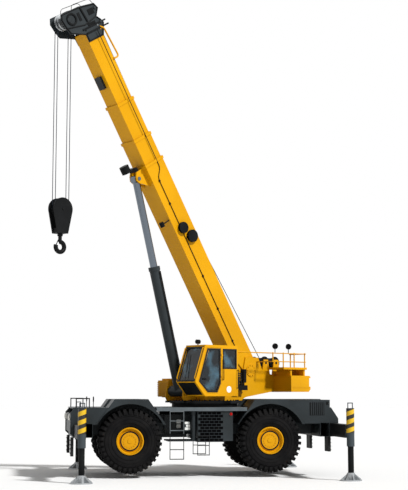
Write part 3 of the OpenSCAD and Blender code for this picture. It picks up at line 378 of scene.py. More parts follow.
# Every CAD node takes the finish of its slot; the turntable, ladders, jacks and beams have two finishes each,
# which meet at a height over the floor or at a distance from the middle
meets = {"baseTop": 2.152 + lift, "hangingStep": 1.16 + lift, "floatTop": 0.236, "tubeReach": 3.362}
special = {"turntable": yellowEnamel("yellowEnamelBlackBase", meets["baseTop"]),
           "ladders": ladderFinish(meets["hangingStep"])}
jackMaterial, beamMaterial = jackFinish(meets["floatTop"]), outriggerFinish(meets["tubeReach"])
for end in ends:
    for side in sides:
        special[f"jack_{end}_{side}"] = jackMaterial
        special[f"beam_{end}_{side}"] = beamMaterial
for name, node in nodes.items():
    for slot in node.material_slots:
        finish = slot.material.name.split(".")[0] if slot.material else ""
        if finish in finishes:
            slot.material = special.get(name, finishes[finish])
print("finishes on the solids")


# Turns a bmesh into a piece that rides on a body, or, when a bend is given, stays where it is drawn, in its
# slot's finish or another
def addPiece(name, shape, slot, body, place=Matrix(), smooth=35, bend=None, finish=None):
    shape.transform(place)
    bmesh.ops.recalc_face_normals(shape, faces=shape.faces)
    mesh = bpy.data.meshes.new(name)
    shape.to_mesh(mesh)
    shape.free()
    mesh.materials.append(finishes[finish or slot])
    mesh.shade_smooth()
    mesh.set_sharp_from_angle(angle=math.radians(smooth))
    piece = bpy.data.objects.new(name, mesh)
    bpy.context.collection.objects.link(piece)
    if bend:
        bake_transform(piece)
    else:
        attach(piece, body)
    return piece


# A round tube through points, with closed ends
def addTube(shape, points, radius, around=10, steps=1):
    points = [Vector(p) for p in points]
    fine = [points[0]]
    for a, b in zip(points, points[1:]):
        fine += [a.lerp(b, i / steps) for i in range(1, steps + 1)]
    rings = []
    normal = (fine[1] - fine[0]).orthogonal().normalized()
    for i, p in enumerate(fine):
        ahead = (fine[min(i + 1, len(fine) - 1)] - p).normalized() if i < len(fine) - 1 else Vector()
        behind = (p - fine[i - 1]).normalized() if i else Vector()
        run = (ahead + behind).normalized()
        normal = (normal - run * normal.dot(run)).normalized()
        side = run.cross(normal)
        ring = []
        for k in range(around):
            angle = 2 * math.pi * k / around
            ring.append(shape.verts.new(p + (normal * math.cos(angle) + side * math.sin(angle)) * radius))
        rings.append(ring)
    for a, b in zip(rings, rings[1:]):
        for k in range(around):
            shape.faces.new((a[k], a[(k + 1) % around], b[(k + 1) % around], b[k]))
    shape.faces.new(rings[0])
    shape.faces.new(rings[-1])


# Corners of a path rounded by arcs of short runs
def roundPath(points, radius, runs=5):
    points = [Vector(p) for p in points]
    path = [points[0]]
    for a, b, c in zip(points, points[1:], points[2:]):
        cut = min(radius, (a - b).length * 0.45, (c - b).length * 0.45)
        start, finish = b + (a - b).normalized() * cut, b + (c - b).normalized() * cut
        for i in range(runs + 1):
            t = i / runs
            path.append(start * (1 - t) ** 2 + b * 2 * t * (1 - t) + finish * t ** 2)
    return path + [points[-1]]


# A block between two corners, with its edges taken off
def addBlock(shape, low, high, edge=0.0):
    low, high = Vector(low), Vector(high)
    made = bmesh.ops.create_cube(shape, size=1)
    bmesh.ops.scale(shape, vec=high - low, verts=made["verts"])
    bmesh.ops.translate(shape, vec=(low + high) / 2, verts=made["verts"])
    if edge:
        edges = list(dict.fromkeys(e for v in made["verts"] for e in v.link_edges))
        bmesh.ops.bevel(shape, geom=edges, offset=edge, segments=2, affect="EDGES")


# A body of revolution about its place's Z, from pairs of radius and height
def addLathe(shape, profile, steps, closed=False, place=Matrix()):
    angles = [2 * math.pi * k / steps for k in range(steps)]
    rings = []
    for radius, height in profile:
        spots = [Vector((0, 0, height))]
        if radius:
            spots = [Vector((radius * math.cos(a), radius * math.sin(a), height)) for a in angles]
        rings.append([shape.verts.new(place @ spot) for spot in spots])
    pairs = list(zip(rings, rings[1:])) + ([(rings[-1], rings[0])] if closed else [])
    for a, b in pairs:
        for k in range(steps):
            corners = [a[k % len(a)], a[(k + 1) % len(a)], b[(k + 1) % len(b)], b[k % len(b)]]
            shape.faces.new(list(dict.fromkeys(corners)))


# A convex outline drawn in by a width
def drawIn(outline, width):
    count = len(outline)
    lines = []
    for i in range(count):
        a, b = Vector(outline[i]), Vector(outline[(i + 1) % count])
        inward = Vector((-(b - a).y, (b - a).x)).normalized()
        lines.append((a + inward * width, (b - a).normalized()))
    result = []
    for i in range(count):
        (p, u), (q, v) = lines[i - 1], lines[i]
        t = ((q - p).x * v.y - (q - p).y * v.x) / (u.x * v.y - u.y * v.x)
        result.append(p + u * t)
    return result


# A flat gasket round an outline in XY, standing up from Z 0; it bulges in the middle
def addGasket(shape, outline, out, inside, height):
    shoulder = height * 0.6
    section = ((-out, 0), (-out, shoulder), ((inside - out) / 2, height), (inside, shoulder), (inside, 0))
    loops = []
    for width, z in section:
        loops.append([shape.verts.new((p.x, p.y, z)) for p in drawIn(outline, width)])
    for a, b in zip(loops, loops[1:] + loops[:1]):
        for k in range(len(outline)):
            shape.faces.new((a[k], a[(k + 1) % len(a)], b[(k + 1) % len(b)], b[k]))


# Starts a geometry tree with named inputs and its output
def startTree(name, inputs):
    tree = bpy.data.node_groups.new(name, "GeometryNodeTree")
    for label, kind in inputs:
        tree.interface.new_socket(label, in_out="INPUT", socket_type=kind)
    tree.interface.new_socket("Mesh", in_out="OUTPUT", socket_type="NodeSocketGeometry")
    return tree, addNode(tree, "NodeGroupInput").outputs


# Ends a tree: real geometry, in one material
def endTree(tree, given, mesh):
    real = addNode(tree, "GeometryNodeRealizeInstances", Geometry=mesh)
    finish = addNode(tree, "GeometryNodeSetMaterial", Geometry=real.outputs[0], Material=given["Finish"])
    addNode(tree, "NodeGroupOutput", i0=finish.outputs[0])
    return tree


# Bolt heads on a circle about Z
def boltCircleTree():
    tree, given = startTree("boltCircle", [
        ("Count", "NodeSocketInt"), ("Circle radius", "NodeSocketFloat"), ("Head radius", "NodeSocketFloat"),
        ("Head height", "NodeSocketFloat"), ("Finish", "NodeSocketMaterial")])
    circle = addNode(tree, "GeometryNodeMeshCircle", Vertices=given["Count"], Radius=given["Circle radius"])
    head = addNode(tree, "GeometryNodeMeshCylinder", {"Vertices": 6},
                   Radius=given["Head radius"], Depth=given["Head height"])
    spread = addNode(tree, "GeometryNodeInstanceOnPoints", Points=circle.outputs[0], Instance=head.outputs[0])
    return endTree(tree, given, spread.outputs[0])


# Raised bricks in staggered rows, on a panel in XY
def treadTree():
    tree, given = startTree("treadBricks", [
        ("Columns", "NodeSocketInt"), ("Rows", "NodeSocketInt"), ("Pitch", "NodeSocketFloat"),
        ("Row height", "NodeSocketFloat"), ("Brick", "NodeSocketVector"), ("Finish", "NodeSocketMaterial")])
    times, divide = {"operation": "MULTIPLY"}, {"operation": "DIVIDE"}
    steps = [addNode(tree, "ShaderNodeMath", {"operation": "SUBTRACT", 1: 1.0}, i0=given[key])
             for key in ("Columns", "Rows")]
    wide = addNode(tree, "ShaderNodeMath", times, i0=steps[0].outputs[0], i1=given["Pitch"])
    high = addNode(tree, "ShaderNodeMath", times, i0=steps[1].outputs[0], i1=given["Row height"])
    grid = addNode(tree, "GeometryNodeMeshGrid", i0=wide.outputs[0], i1=high.outputs[0],
                   i2=given["Columns"], i3=given["Rows"])
    spot = addNode(tree, "GeometryNodeInputPosition")
    split = addNode(tree, "ShaderNodeSeparateXYZ", Vector=spot.outputs[0])
    half = addNode(tree, "ShaderNodeMath", {**divide, 1: 2.0}, i0=high.outputs[0])
    fromFoot = addNode(tree, "ShaderNodeMath", {"operation": "ADD"},
                       i0=split.outputs["Y"], i1=half.outputs[0])
    row = addNode(tree, "ShaderNodeMath", divide, i0=fromFoot.outputs[0], i1=given["Row height"])
    whole = addNode(tree, "ShaderNodeMath", {"operation": "ROUND"}, i0=row.outputs[0])
    odd = addNode(tree, "ShaderNodeMath", {"operation": "MODULO", 1: 2.0}, i0=whole.outputs[0])
    shift = addNode(tree, "ShaderNodeMath", times, i0=odd.outputs[0], i1=given["Pitch"])
    halfShift = addNode(tree, "ShaderNodeMath", {**times, 1: 0.5}, i0=shift.outputs[0])
    move = addNode(tree, "ShaderNodeCombineXYZ", X=halfShift.outputs[0])
    stagger = addNode(tree, "GeometryNodeSetPosition", Geometry=grid.outputs[0], Offset=move.outputs[0])
    brick = addNode(tree, "GeometryNodeMeshCube", Size=given["Brick"])
    spread = addNode(tree, "GeometryNodeInstanceOnPoints",
                     Points=stagger.outputs[0], Instance=brick.outputs[0])
    return endTree(tree, given, spread.outputs[0])


# Rope wound on a drum about Z, one turn beside the next
def windingTree():
    tree, given = startTree("ropeWinding", [
        ("Turns", "NodeSocketFloat"), ("Drum radius", "NodeSocketFloat"), ("Rope radius", "NodeSocketFloat"),
        ("Length", "NodeSocketFloat"), ("Finish", "NodeSocketMaterial")])
    path = addNode(tree, "GeometryNodeCurveSpiral", {"Resolution": 28}, Rotations=given["Turns"],
                   i2=given["Drum radius"], i3=given["Drum radius"], Height=given["Length"])
    ring = addNode(tree, "GeometryNodeCurvePrimitiveCircle", {"Resolution": 8}, Radius=given["Rope radius"])
    rope = addNode(tree, "GeometryNodeCurveToMesh", {"Fill Caps": True},
                   Curve=path.outputs[0], i1=ring.outputs[0])
    smooth = addNode(tree, "GeometryNodeSetShadeSmooth", Geometry=rope.outputs[0])
    return endTree(tree, given, smooth.outputs[0])


# Grows one piece from a tree and its inputs, puts it in place and lets it ride
def growPiece(name, tree, sizes, slot, body, place, finish=None):
    piece = bpy.data.objects.new(name, bpy.data.meshes.new(name))
    bpy.context.collection.objects.link(piece)
    modifier = piece.modifiers.new("grow", "NODES")
    modifier.node_group = tree
    given = {**sizes, "Finish": finishes[finish or slot]}
    for item in tree.interface.items_tree:
        if item.in_out == "INPUT":
            modifier[item.identifier] = given[item.name]
    grown = bpy.data.meshes.new_from_object(piece.evaluated_get(bpy.context.evaluated_depsgraph_get()))
    piece.modifiers.remove(modifier)
    grown.transform(place)
    piece.data = grown
    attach(piece, body)


# What the bolt circle needs, from a count and three sizes
def boltSizes(count, circle, head, height):
    return {"Count": count, "Circle radius": circle, "Head radius": head, "Head height": height}


boltCircle, treadBricks, ropeWinding = boltCircleTree(), treadTree(), windingTree()
print("geometry trees made")

# Wheels: studs round the disc, a black ring of painted shade in the rim's groove, and three moulded rings on
# the outer sidewall
wheel = {"studs": 16, "studCircle": 0.19, "stud": 0.017, "studHeight": 0.022, "disc": 0.240,
         "groove": (0.259, 0.300), "grooveDepth": (0.2345, 0.2415),
         "rings": ((0.56, 0.006), (0.66, 0.012), (0.76, 0.006)),      # radius, and height over the sidewall
         "ringHalf": 0.014, "ringRoot": 0.012, "sidewall": 0.3735}
studSizes = boltSizes(wheel["studs"], wheel["studCircle"], wheel["stud"], wheel["studHeight"])
for end in ends:
    for side, sign in sides.items():
        place = turned(joints[f"roll_{end}_{side}"]["pos_m"], -90 * sign)
        body = f"wheel_{end}_{side}"
        growPiece(f"wheelStuds_{end}_{side}", boltCircle, studSizes, "yellow_paint", body,
                  place @ Matrix.Translation((0, 0, wheel["disc"] + wheel["studHeight"] / 2)))
        (inner, outer), (low, high) = wheel["groove"], wheel["grooveDepth"]
        # Black ring in the rim's groove: painted shade
        groove = bmesh.new()
        addLathe(groove, [(inner, low), (inner, high), (outer, high), (outer, low)], 64, True)
        addPiece(f"rimGrooveShade_{end}_{side}", groove, "black_paint", body, place)
        rings = bmesh.new()
        low, half = wheel["sidewall"] - wheel["ringRoot"], wheel["ringHalf"]
        for radius, rise in wheel["rings"]:
            high = wheel["sidewall"] + rise
            addLathe(rings, [(radius - half, low), (radius - half * 0.5, high), (radius + half * 0.5, high),
                             (radius + half, low)], 96, True)
        addPiece(f"sidewallRings_{end}_{side}", rings, "tyre_rubber", body, place, 50)
print("wheels dressed")

# Outriggers: hazard sleeves round the upper part of each jack tube, with a map that winds the bands round it
sleeve = {"radius": 0.1158, "thick": 0.0025, "top": 1.938, "length": 0.72, "bandHeight": 0.25, "around": 64}
inner, outer = sleeve["radius"] - sleeve["thick"], sleeve["radius"] + sleeve["thick"]
high = sleeve["top"] + lift
low = high - sleeve["length"]
for end in ends:
    for side in sides:
        boxLow, boxHigh = [Vector(corner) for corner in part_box(f"jack_{end}_{side}")]
        centre = (boxLow + boxHigh) / 2
        tube = bmesh.new()
        wrap = tube.loops.layers.uv.new("wrap")
        addLathe(tube, [(inner, low), (outer, low), (outer, high), (inner, high)], sleeve["around"], True)
        for face in tube.faces:
            spot = face.calc_center_median()
            middle = math.atan2(spot.y, spot.x)
            for loop in face.loops:
                angle = math.atan2(loop.vert.co.y, loop.vert.co.x)
                angle += 2 * math.pi * round((middle - angle) / (2 * math.pi))
                loop[wrap].uv = (angle / (2 * math.pi), (high - loop.vert.co.z) / sleeve["bandHeight"])
        addPiece(f"hazardSleeve_{end}_{side}", tube, "black_paint", f"outrigger_{end}_{side}",
                 Matrix.Translation((centre.x, centre.y, 0)), finish="hazardFilm")
print("outriggers dressed")

# Step panel on the carrier's left side: grey in a raised border, with flat black bricks of painted shade that
# stand in for the dark slots
tread = {"low": (-0.322, 0.912), "high": (0.472, 1.828), "face": 1.6102, "plate": 0.004, "plateEdge": 0.001,
         "border": 0.012, "borderUp": 0.008, "borderEdge": 0.002,
         "columns": 5, "rows": 10, "pitch": 0.145, "rowHeight": 0.090, "brick": (0.132, 0.074, 0.008)}
(left, foot), (right, top), border = tread["low"], tread["high"], tread["border"]
panel = bmesh.new()
addBlock(panel, (left, tread["face"], foot), (right, tread["face"] + tread["plate"], top), tread["plateEdge"])
face = tread["face"] + tread["plate"] * 0.5
for x0, x1, z0, z1 in ((left, right, foot, foot + border), (left, right, top - border, top),
                       (left, left + border, foot, top), (right - border, right, foot, top)):
    addBlock(panel, (x0, face, z0), (x1, face + tread["borderUp"], z1), tread["borderEdge"])
addPiece("treadPanel", panel, "grey_paint", "carrier", carrierFrame)
middle = ((left + right) / 2 - tread["pitch"] / 4, tread["face"] + tread["plate"], (foot + top) / 2)
# The black bricks are painted shade in place of the slots' dark openings
growPiece("treadBricks", treadBricks,
          {"Columns": tread["columns"], "Rows": tread["rows"], "Pitch": tread["pitch"],
           "Row height": tread["rowHeight"], "Brick": tread["brick"]},
          "black_paint", "carrier", carrierFrame @ turned(middle, 90), finish="mattSlots")

# Bay: blank plates on two faces, given by their distance from the middle, with a screw in each corner
bay = {"plates": {1.3822: [((0.68, 1.26), (0.84, 1.34)), ((0.68, 1.355), (0.80, 1.425)),
                           ((0.69, 1.44), (0.84, 1.51))],
                  0.6202: [((0.86, 1.30), (0.99, 1.42)), ((0.86, 1.44), (0.99, 1.56))]},
       "plate": 0.004, "edge": 0.0015, "screw": 0.007, "screwIn": 0.02, "screwSpan": (0.002, 0.008)}
plates = bmesh.new()
for face, outlines in bay["plates"].items():
    for (x0, z0), (x1, z1) in outlines:
        addBlock(plates, (x0, face, z0), (x1, face + bay["plate"], z1), bay["edge"])
        for x in (x0 + bay["screwIn"], x1 - bay["screwIn"]):
            for z in (z0 + bay["screwIn"], z1 - bay["screwIn"]):
                addTube(plates, [(x, face + out, z) for out in bay["screwSpan"]], bay["screw"])
addPiece("bayPlates", plates, "steel", "carrier", carrierFrame, finish="signPlate")

# Carrier's lamps: domed lenses at the sides and in front, flat ones behind
lamps = {"dome": [(0, 0.012), (0.5, 0.011), (0.85, 0.007), (1.0, 0.0), (0, 0.0)],    # share of radius, height
         "side": (-0.56, 1.640, 1.745), "sideRadius": 0.0455,
         "heads": (1.05, 1.30), "headFace": (4.383, 1.653), "headRadius": 0.082, "headSwell": 1.6,
         "tails": {"red": (1.19, 1.33), "white": (1.35, 1.49)}, "tailFace": (-4.009, -4.003),
         "tailHeight": (1.338, 1.442), "tailEdge": 0.002}
sideDome = [(r * lamps["sideRadius"], h) for r, h in lamps["dome"]]
headDome = [(r * lamps["headRadius"], h * lamps["headSwell"]) for r, h in lamps["dome"]]
lenses = {"red": bmesh.new(), "white": bmesh.new()}
for sign in sides.values():
    x, y, z = lamps["side"]
    addLathe(lenses["red"], sideDome, 24, place=turned((x, y * sign, z), -90 * sign))
    x, z = lamps["headFace"]
    for y in lamps["heads"]:
        addLathe(lenses["white"], headDome, 32, place=turned((x, y * sign, z), 90, "Y"))
    (x0, x1), (z0, z1) = lamps["tailFace"], lamps["tailHeight"]
    for tint, span in lamps["tails"].items():
        y0, y1 = sorted(y * sign for y in span)
        addBlock(lenses[tint], (x0, y0, z0), (x1, y1, z1), lamps["tailEdge"])
addPiece("redLenses", lenses["red"], "lamp_lens", "carrier", carrierFrame, finish="redLens")
addPiece("clearLenses", lenses["white"], "lamp_lens", "carrier", carrierFrame)

# Hood: black panels of painted shade behind the louvres and in the small vent, on both sides
hood = {"face": 1.6502, "panel": 0.003,
        "shadePanels": [((-3.505, 1.700), (-3.035, 2.098)), ((-3.64, 2.02), (-3.56, 2.12))]}
# Black sheets behind the louvre gaps and the vent: painted shade
louvreShade = bmesh.new()
for sign in sides.values():
    y0, y1 = sorted((hood["face"] * sign, (hood["face"] + hood["panel"]) * sign))
    for (x0, z0), (x1, z1) in hood["shadePanels"]:
        addBlock(louvreShade, (x0, y0, z0), (x1, y1, z1))
addPiece("louvreShadePanels", louvreShade, "black_paint", "carrier", carrierFrame)
print("carrier dressed")

# Cab: gaskets round the panes, each drawn on the face that it lies on
cab = {"corner": (0.0, 0.51, 2.29), "width": 0.9, "height": 1.57, "sill": 0.44, "front": 1.63, "brow": 1.22,
       "door": [(0.71, 0.09), (1.14, 0.09), (1.52, 0.44), (1.16, 1.49), (0.56, 1.49), (0.56, 0.39)],
       "doorFrame": 0.07, "windowFoot": 0.87, "windowTop": 1.43, "windowBack": -0.06, "windowFront": 0.47,
       "farPillar": 0.04, "screen": [(0.08, 0.043), (0.82, 0.043), (0.82, 1.106), (0.08, 1.106)],
       "gasket": 0.009, "gasketIn": 0.012, "doorLap": 0.045, "windowLap": 0.032, "screenLap": 0.04,
       "sunk": 0.0005}
cabFrame = superFrame @ Matrix.Translation(cab["corner"])
ahead = Vector((1, 0, 0))
leftFace = cabFrame @ axesAt((0, cab["width"] - cab["sunk"], 0), ahead, up) @ Matrix.Scale(-1, 4, up)
rightFace = cabFrame @ axesAt((0, cab["sunk"], 0), ahead, up)
rake = Vector((cab["brow"] - cab["front"], 0, cab["height"] - cab["sill"])).normalized()
screenFrame = cabFrame @ axesAt((cab["front"], 0, cab["sill"]), Vector((0, 1, 0)), rake)


# A side window's outline, up to its front edge
def sideWindow(front):
    back, foot, top = cab["windowBack"], cab["windowFoot"], cab["windowTop"]
    return [(back, foot), (front, foot), (front, top), (back, top)]


doorPane, nearPane = drawIn(cab["door"], cab["doorFrame"]), sideWindow(cab["windowFront"])
farPane = sideWindow(cab["brow"] - cab["farPillar"])
for name, outline, lap, body, face in (
        ("doorGasket", doorPane, cab["doorLap"], "door", leftFace),
        ("sideWindowGasket", nearPane, cab["windowLap"], "superstructure", leftFace),
        ("farWindowGasket", farPane, cab["windowLap"], "superstructure", rightFace),
        ("screenGasket", cab["screen"], cab["screenLap"], "superstructure", screenFrame)):
    gasket = bmesh.new()
    addGasket(gasket, outline, lap, cab["gasketIn"], cab["gasket"])
    addPiece(name, gasket, "rubber", body, face)


# A bar that stands off a face on two bent feet
def addGrab(shape, foot, top, out, radius, bend=0.03):
    foot, top, out = Vector(foot), Vector(top), Vector(out)
    addTube(shape, roundPath([foot, foot + out, top + out, top], bend), radius)


# Screen: wiper, and a grab rail on each pillar
screen = {"arm": [(0.45, 0.012, 0.004), (0.45, 0.03, 0.03), (0.33, 0.62, 0.028)], "armRadius": 0.008,
          "armBend": 0.02, "blade": [(0.40, 0.30, 0.016), (0.27, 0.92, 0.016)], "bladeRadius": 0.009,
          "rails": (0.035, 0.865), "railSpan": (0.10, 1.10), "railOut": 0.045, "railRadius": 0.013}
wiper = bmesh.new()
addTube(wiper, roundPath(screen["arm"], screen["armBend"]), screen["armRadius"], 8)
addTube(wiper, screen["blade"], screen["bladeRadius"], 8)
addPiece("wiper", wiper, "black_paint", "superstructure", screenFrame)
rails = bmesh.new()
low, high = screen["railSpan"]
for x in screen["rails"]:
    addGrab(rails, (x, low, 0), (x, high, 0), (0, 0, screen["railOut"]), screen["railRadius"])
addPiece("pillarRails", rails, "yellow_paint", "superstructure", screenFrame)

# Cab's left side: grab handles, the door's latch and a blank round label
entry = {"handles": ((0.505, 0.50, 1.10), (-0.10, 0.25, 0.80)), "handleOut": 0.055, "handleRadius": 0.012,
         "latch": ((1.19, -0.001, 0.50), (1.33, 0.010, 0.545)), "latchEdge": 0.004,
         "grip": [(1.20, 0.008, 0.5225), (1.21, 0.032, 0.5225), (1.32, 0.032, 0.5225)], "gripBend": 0.012,
         "gripRadius": 0.009,
         "label": (0.24, 0, 0.21), "labelRadius": 0.10, "labelEdge": 0.001, "labelUp": 0.002}
entryFrame = cabFrame @ Matrix.Translation((0, cab["width"], 0))
handles = bmesh.new()
for x, low, high in entry["handles"]:
    addGrab(handles, (x, 0, low), (x, 0, high), (0, entry["handleOut"], 0), entry["handleRadius"])
addPiece("cabHandles", handles, "black_paint", "superstructure", entryFrame)
latch = bmesh.new()
addBlock(latch, *entry["latch"], entry["latchEdge"])
addTube(latch, roundPath(entry["grip"], entry["gripBend"]), entry["gripRadius"], 8)
addPiece("doorLatch", latch, "black_paint", "door", entryFrame)
label = bmesh.new()
radius, rise = entry["labelRadius"], entry["labelUp"]
addLathe(label, [(0, rise), (radius, rise), (radius + entry["labelEdge"], 0), (0, 0)], 40)
addPiece("roundLabel", label, "steel", "superstructure", entryFrame @ turned(entry["label"], -90),
         finish="signPlate")

# Steering wheel on its column, and the levers with their knobs on the consoles
steering = {"hub": (1.02, 0.45, 0.80), "foot": (1.16, 0.45, 0.047), "column": 0.03, "tip": 62,
            "radius": 0.19, "rim": 0.016, "rimSides": 8, "spokes": 3, "spoke": 0.012, "firstSpoke": 0.5,
            "dish": 0.02, "leversAlong": (0.68, 0.74), "leversAcross": (0.165, 0.735),
            "lever": ((0, 0, 0.64), (0.02, 0, 0.78)), "leverRadius": 0.008,
            "knob": ((0.02, 0, 0.77), (0.024, 0, 0.815)), "knobRadius": 0.018}
wheelShape = bmesh.new()
rimAngles = [2 * math.pi * k / steering["rimSides"] for k in range(steering["rimSides"])]
radius, rim = steering["radius"], steering["rim"]
addLathe(wheelShape, [(radius + rim * math.cos(a), rim * math.sin(a)) for a in rimAngles], 40, True)
for k in range(steering["spokes"]):
    angle = 2 * math.pi * k / steering["spokes"] + steering["firstSpoke"]
    rimSpot = (radius * math.cos(angle), radius * math.sin(angle), 0)
    addTube(wheelShape, [(0, 0, -steering["dish"]), rimSpot], steering["spoke"], 8)
wheelShape.transform(turned(steering["hub"], -90 + steering["tip"], "Y"))
addTube(wheelShape, [steering["hub"], steering["foot"]], steering["column"], 12)
for y in steering["leversAcross"]:
    for x in steering["leversAlong"]:
        spot = Vector((x, y, 0))
        addTube(wheelShape, [spot + Vector(p) for p in steering["lever"]], steering["leverRadius"], 8)
        addTube(wheelShape, [spot + Vector(p) for p in steering["knob"]], steering["knobRadius"])
addPiece("steeringWheel", wheelShape, "rubber", "superstructure", cabFrame)


# A crowned pad: flat sides pulled in, its top swelling towards the middle
def addPad(shape, low, high, crown, cuts=9):
    low, high = Vector(low), Vector(high)
    centre, half = (low + high) / 2, (high - low) / 2
    made = bmesh.ops.create_cube(shape, size=2)
    edges = list(dict.fromkeys(e for v in made["verts"] for e in v.link_edges))
    bmesh.ops.subdivide_edges(shape, edges=edges, cuts=cuts, use_grid_fill=True)
    for v in shape.verts:
        u = v.co.copy()
        bulge = [max(0.0, 1 - abs(c) ** 3) for c in u]
        soft = [math.copysign(abs(c) ** 0.9, c) for c in u]
        for i in range(3):
            j, k = (i + 1) % 3, (i + 2) % 3
            corner = 1 - 0.10 * (abs(u[j]) ** 6 + abs(u[k]) ** 6) / 2
            soft[i] *= corner * (1 - crown * (1 - bulge[j] * bulge[k]))
        v.co = centre + Vector([s * h for s, h in zip(soft, half)])


# Operator's seat: cloth cushion and back on a moulded pan, between two consoles on their posts
seat = {"cushion": ((0.25, 0.19, 0.325), (0.79, 0.71, 0.45)),
        "back": ((0.165, 0.19, 0.43), (0.295, 0.71, 1.06)), "crown": 0.10,
        "pan": ((0.27, 0.22, 0.046), (0.77, 0.68, 0.325)), "panEdge": 0.02,
        "consoles": (0.14, 0.71), "console": ((0.33, 0, 0.48), (0.78, 0.05, 0.64)), "consoleEdge": 0.012,
        "post": ((0.33, 0, 0.33), (0.38, 0.05, 0.485)), "postEdge": 0.006}
pan = bmesh.new()
addBlock(pan, *seat["pan"], seat["panEdge"])
for y in seat["consoles"]:
    for block in ("console", "post"):
        low, high = [Vector(corner) + Vector((0, y, 0)) for corner in seat[block]]
        addBlock(pan, low, high, seat[f"{block}Edge"])
addPiece("seatPan", pan, "rubber", "superstructure", cabFrame)
for name in ("cushion", "back"):
    pad = bmesh.new()
    addPad(pad, *seat[name], seat["crown"])
    piece = addPiece(f"seat_{name}", pad, "seat_fabric", "superstructure", cabFrame, 80)
    if name == "cushion":
        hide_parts("cab_seat")
print("cab dressed")

# Turntable: bolts round its base and round the boom's pivot
table = {"bolts": 44, "circle": 1.075, "bolt": 0.024, "boltHeight": 0.03, "top": 2.150,
         "pivot": (-1.65, 0.452, 3.13), "pivotBolts": 10, "pivotCircle": 0.165,
         "pivotBolt": 0.02, "pivotHeight": 0.022}
growPiece("baseBolts", boltCircle,
          boltSizes(table["bolts"], table["circle"], table["bolt"], table["boltHeight"]),
          "black_paint", "superstructure",
          superFrame @ Matrix.Translation((0, 0, table["top"] + table["boltHeight"] / 2)))
x, y, z = table["pivot"]
y += table["pivotHeight"] / 2
for side, sign in sides.items():
    growPiece(f"pivotBolts_{side}", boltCircle,
              boltSizes(table["pivotBolts"], table["pivotCircle"], table["pivotBolt"], table["pivotHeight"]),
              "yellow_paint", "superstructure", superFrame @ turned((x, y * sign, z), -90))

# Hoses from the valve block up and over to the cabinet, side by side
hose = {"count": 4, "first": (-1.08, 2.84), "step": (0.09, 0.06), "foot": (0.56, 2.75), "end": (-1.19, 0.49),
        "bend": 0.07, "radius": 0.018}
hoses = bmesh.new()
(side, low), (endX, endY) = hose["foot"], hose["end"]
for i in range(hose["count"]):
    x, z = [first + step * i for first, step in zip(hose["first"], hose["step"])]
    addTube(hoses, roundPath([(x, side, low), (x, side, z), (endX, endY, z)], hose["bend"]), hose["radius"])
addPiece("valveHoses", hoses, "rubber", "superstructure", superFrame)

# Guard rail from the platform to the back of the cab, with a round foot there
walk = {"from": (-1.93, 1.16, 3.68), "to": (-0.148, 1.16, 3.68), "radius": 0.017,
        "foot": [(0, 0.010), (0.045, 0.010), (0.050, 0.0), (0, 0.0)]}
rail = bmesh.new()
addTube(rail, [walk["from"], walk["to"]], walk["radius"], 12)
addLathe(rail, walk["foot"], 20, place=turned(walk["to"], -90, "Y"))
addPiece("walkwayRail", rail, "yellow_paint", "superstructure", superFrame)

# Black cabinet on the tower's left side, ribbed across its front
cabinet = {"low": (-1.33, 0.4005, 2.72), "high": (-1.19, 0.56, 3.16), "edge": 0.012, "ribs": 6, "ribIn": 0.02,
           "ribHalf": 0.015, "ribSpan": (-0.004, 0.008), "ribEdge": 0.003}
cabinetShape = bmesh.new()
addBlock(cabinetShape, cabinet["low"], cabinet["high"], cabinet["edge"])
(x0, y0, z0), (x1, y1, z1) = cabinet["low"], cabinet["high"]
inside, outside = [y1 + out for out in cabinet["ribSpan"]]
for i in range(cabinet["ribs"]):
    z = z0 + (i + 0.5) * (z1 - z0) / cabinet["ribs"]
    addBlock(cabinetShape, (x0 + cabinet["ribIn"], inside, z - cabinet["ribHalf"]),
             (x1 - cabinet["ribIn"], outside, z + cabinet["ribHalf"]), cabinet["ribEdge"])
addPiece("rearCabinet", cabinetShape, "black_paint", "superstructure", superFrame)

# Winches: rope wound on both drums
winch = {"radius": 0.161, "rope": 0.011, "length": 0.47, "turns": 21}
for name in ("main_winch", "aux_winch"):
    centre = joints[f"{name}_turn"]["pos_m"]
    place = axesAt(centre, across.cross(up), up) @ Matrix.Translation((0, 0, -winch["length"] / 2))
    growPiece(f"{name}_rope", ropeWinding,
              {"Turns": winch["turns"], "Drum radius": winch["radius"], "Rope radius": winch["rope"],
               "Length": winch["length"]}, "wire_rope", name, place)
print("turntable dressed")

# Boom: the hoist rope from the winch over the guide to the head, drawn as it stands. The rope to the guide
# has a ring at each end only.
chain = ("boom_base", "boom_mid_outer", "boom_mid_inner", "boom_tip")
boomRope = {"radius": 0.011, "guide": (6.40, 0.0, 0.498), "joins": (8.42, 9.64), "head": (12.19, 0.0, 0.552)}
drum = Vector(joints["main_winch_turn"]["pos_m"]) + up * winch["radius"]
guide = boomFrame @ Vector(boomRope["guide"])
rope = bmesh.new()
addTube(rope, [drum, guide], boomRope["radius"], 8)
addPiece("winchRope", rope, "wire_rope", "superstructure", bend=("boom_base", drum, guide))
(first, _, low), (last, _, high) = boomRope["guide"], boomRope["head"]
stops = [first, *boomRope["joins"], last]
slope = (high - low) / (last - first)
for i in range(3):
    a, b = [boomFrame @ Vector((x, 0, low + slope * (x - first))) for x in stops[i:i + 2]]
    rope = bmesh.new()
    addTube(rope, [a, b], boomRope["radius"], 8, 12)
    addPiece(f"boomRope_{i}", rope, "wire_rope", chain[i], bend=(chain[i + 1], a, b))

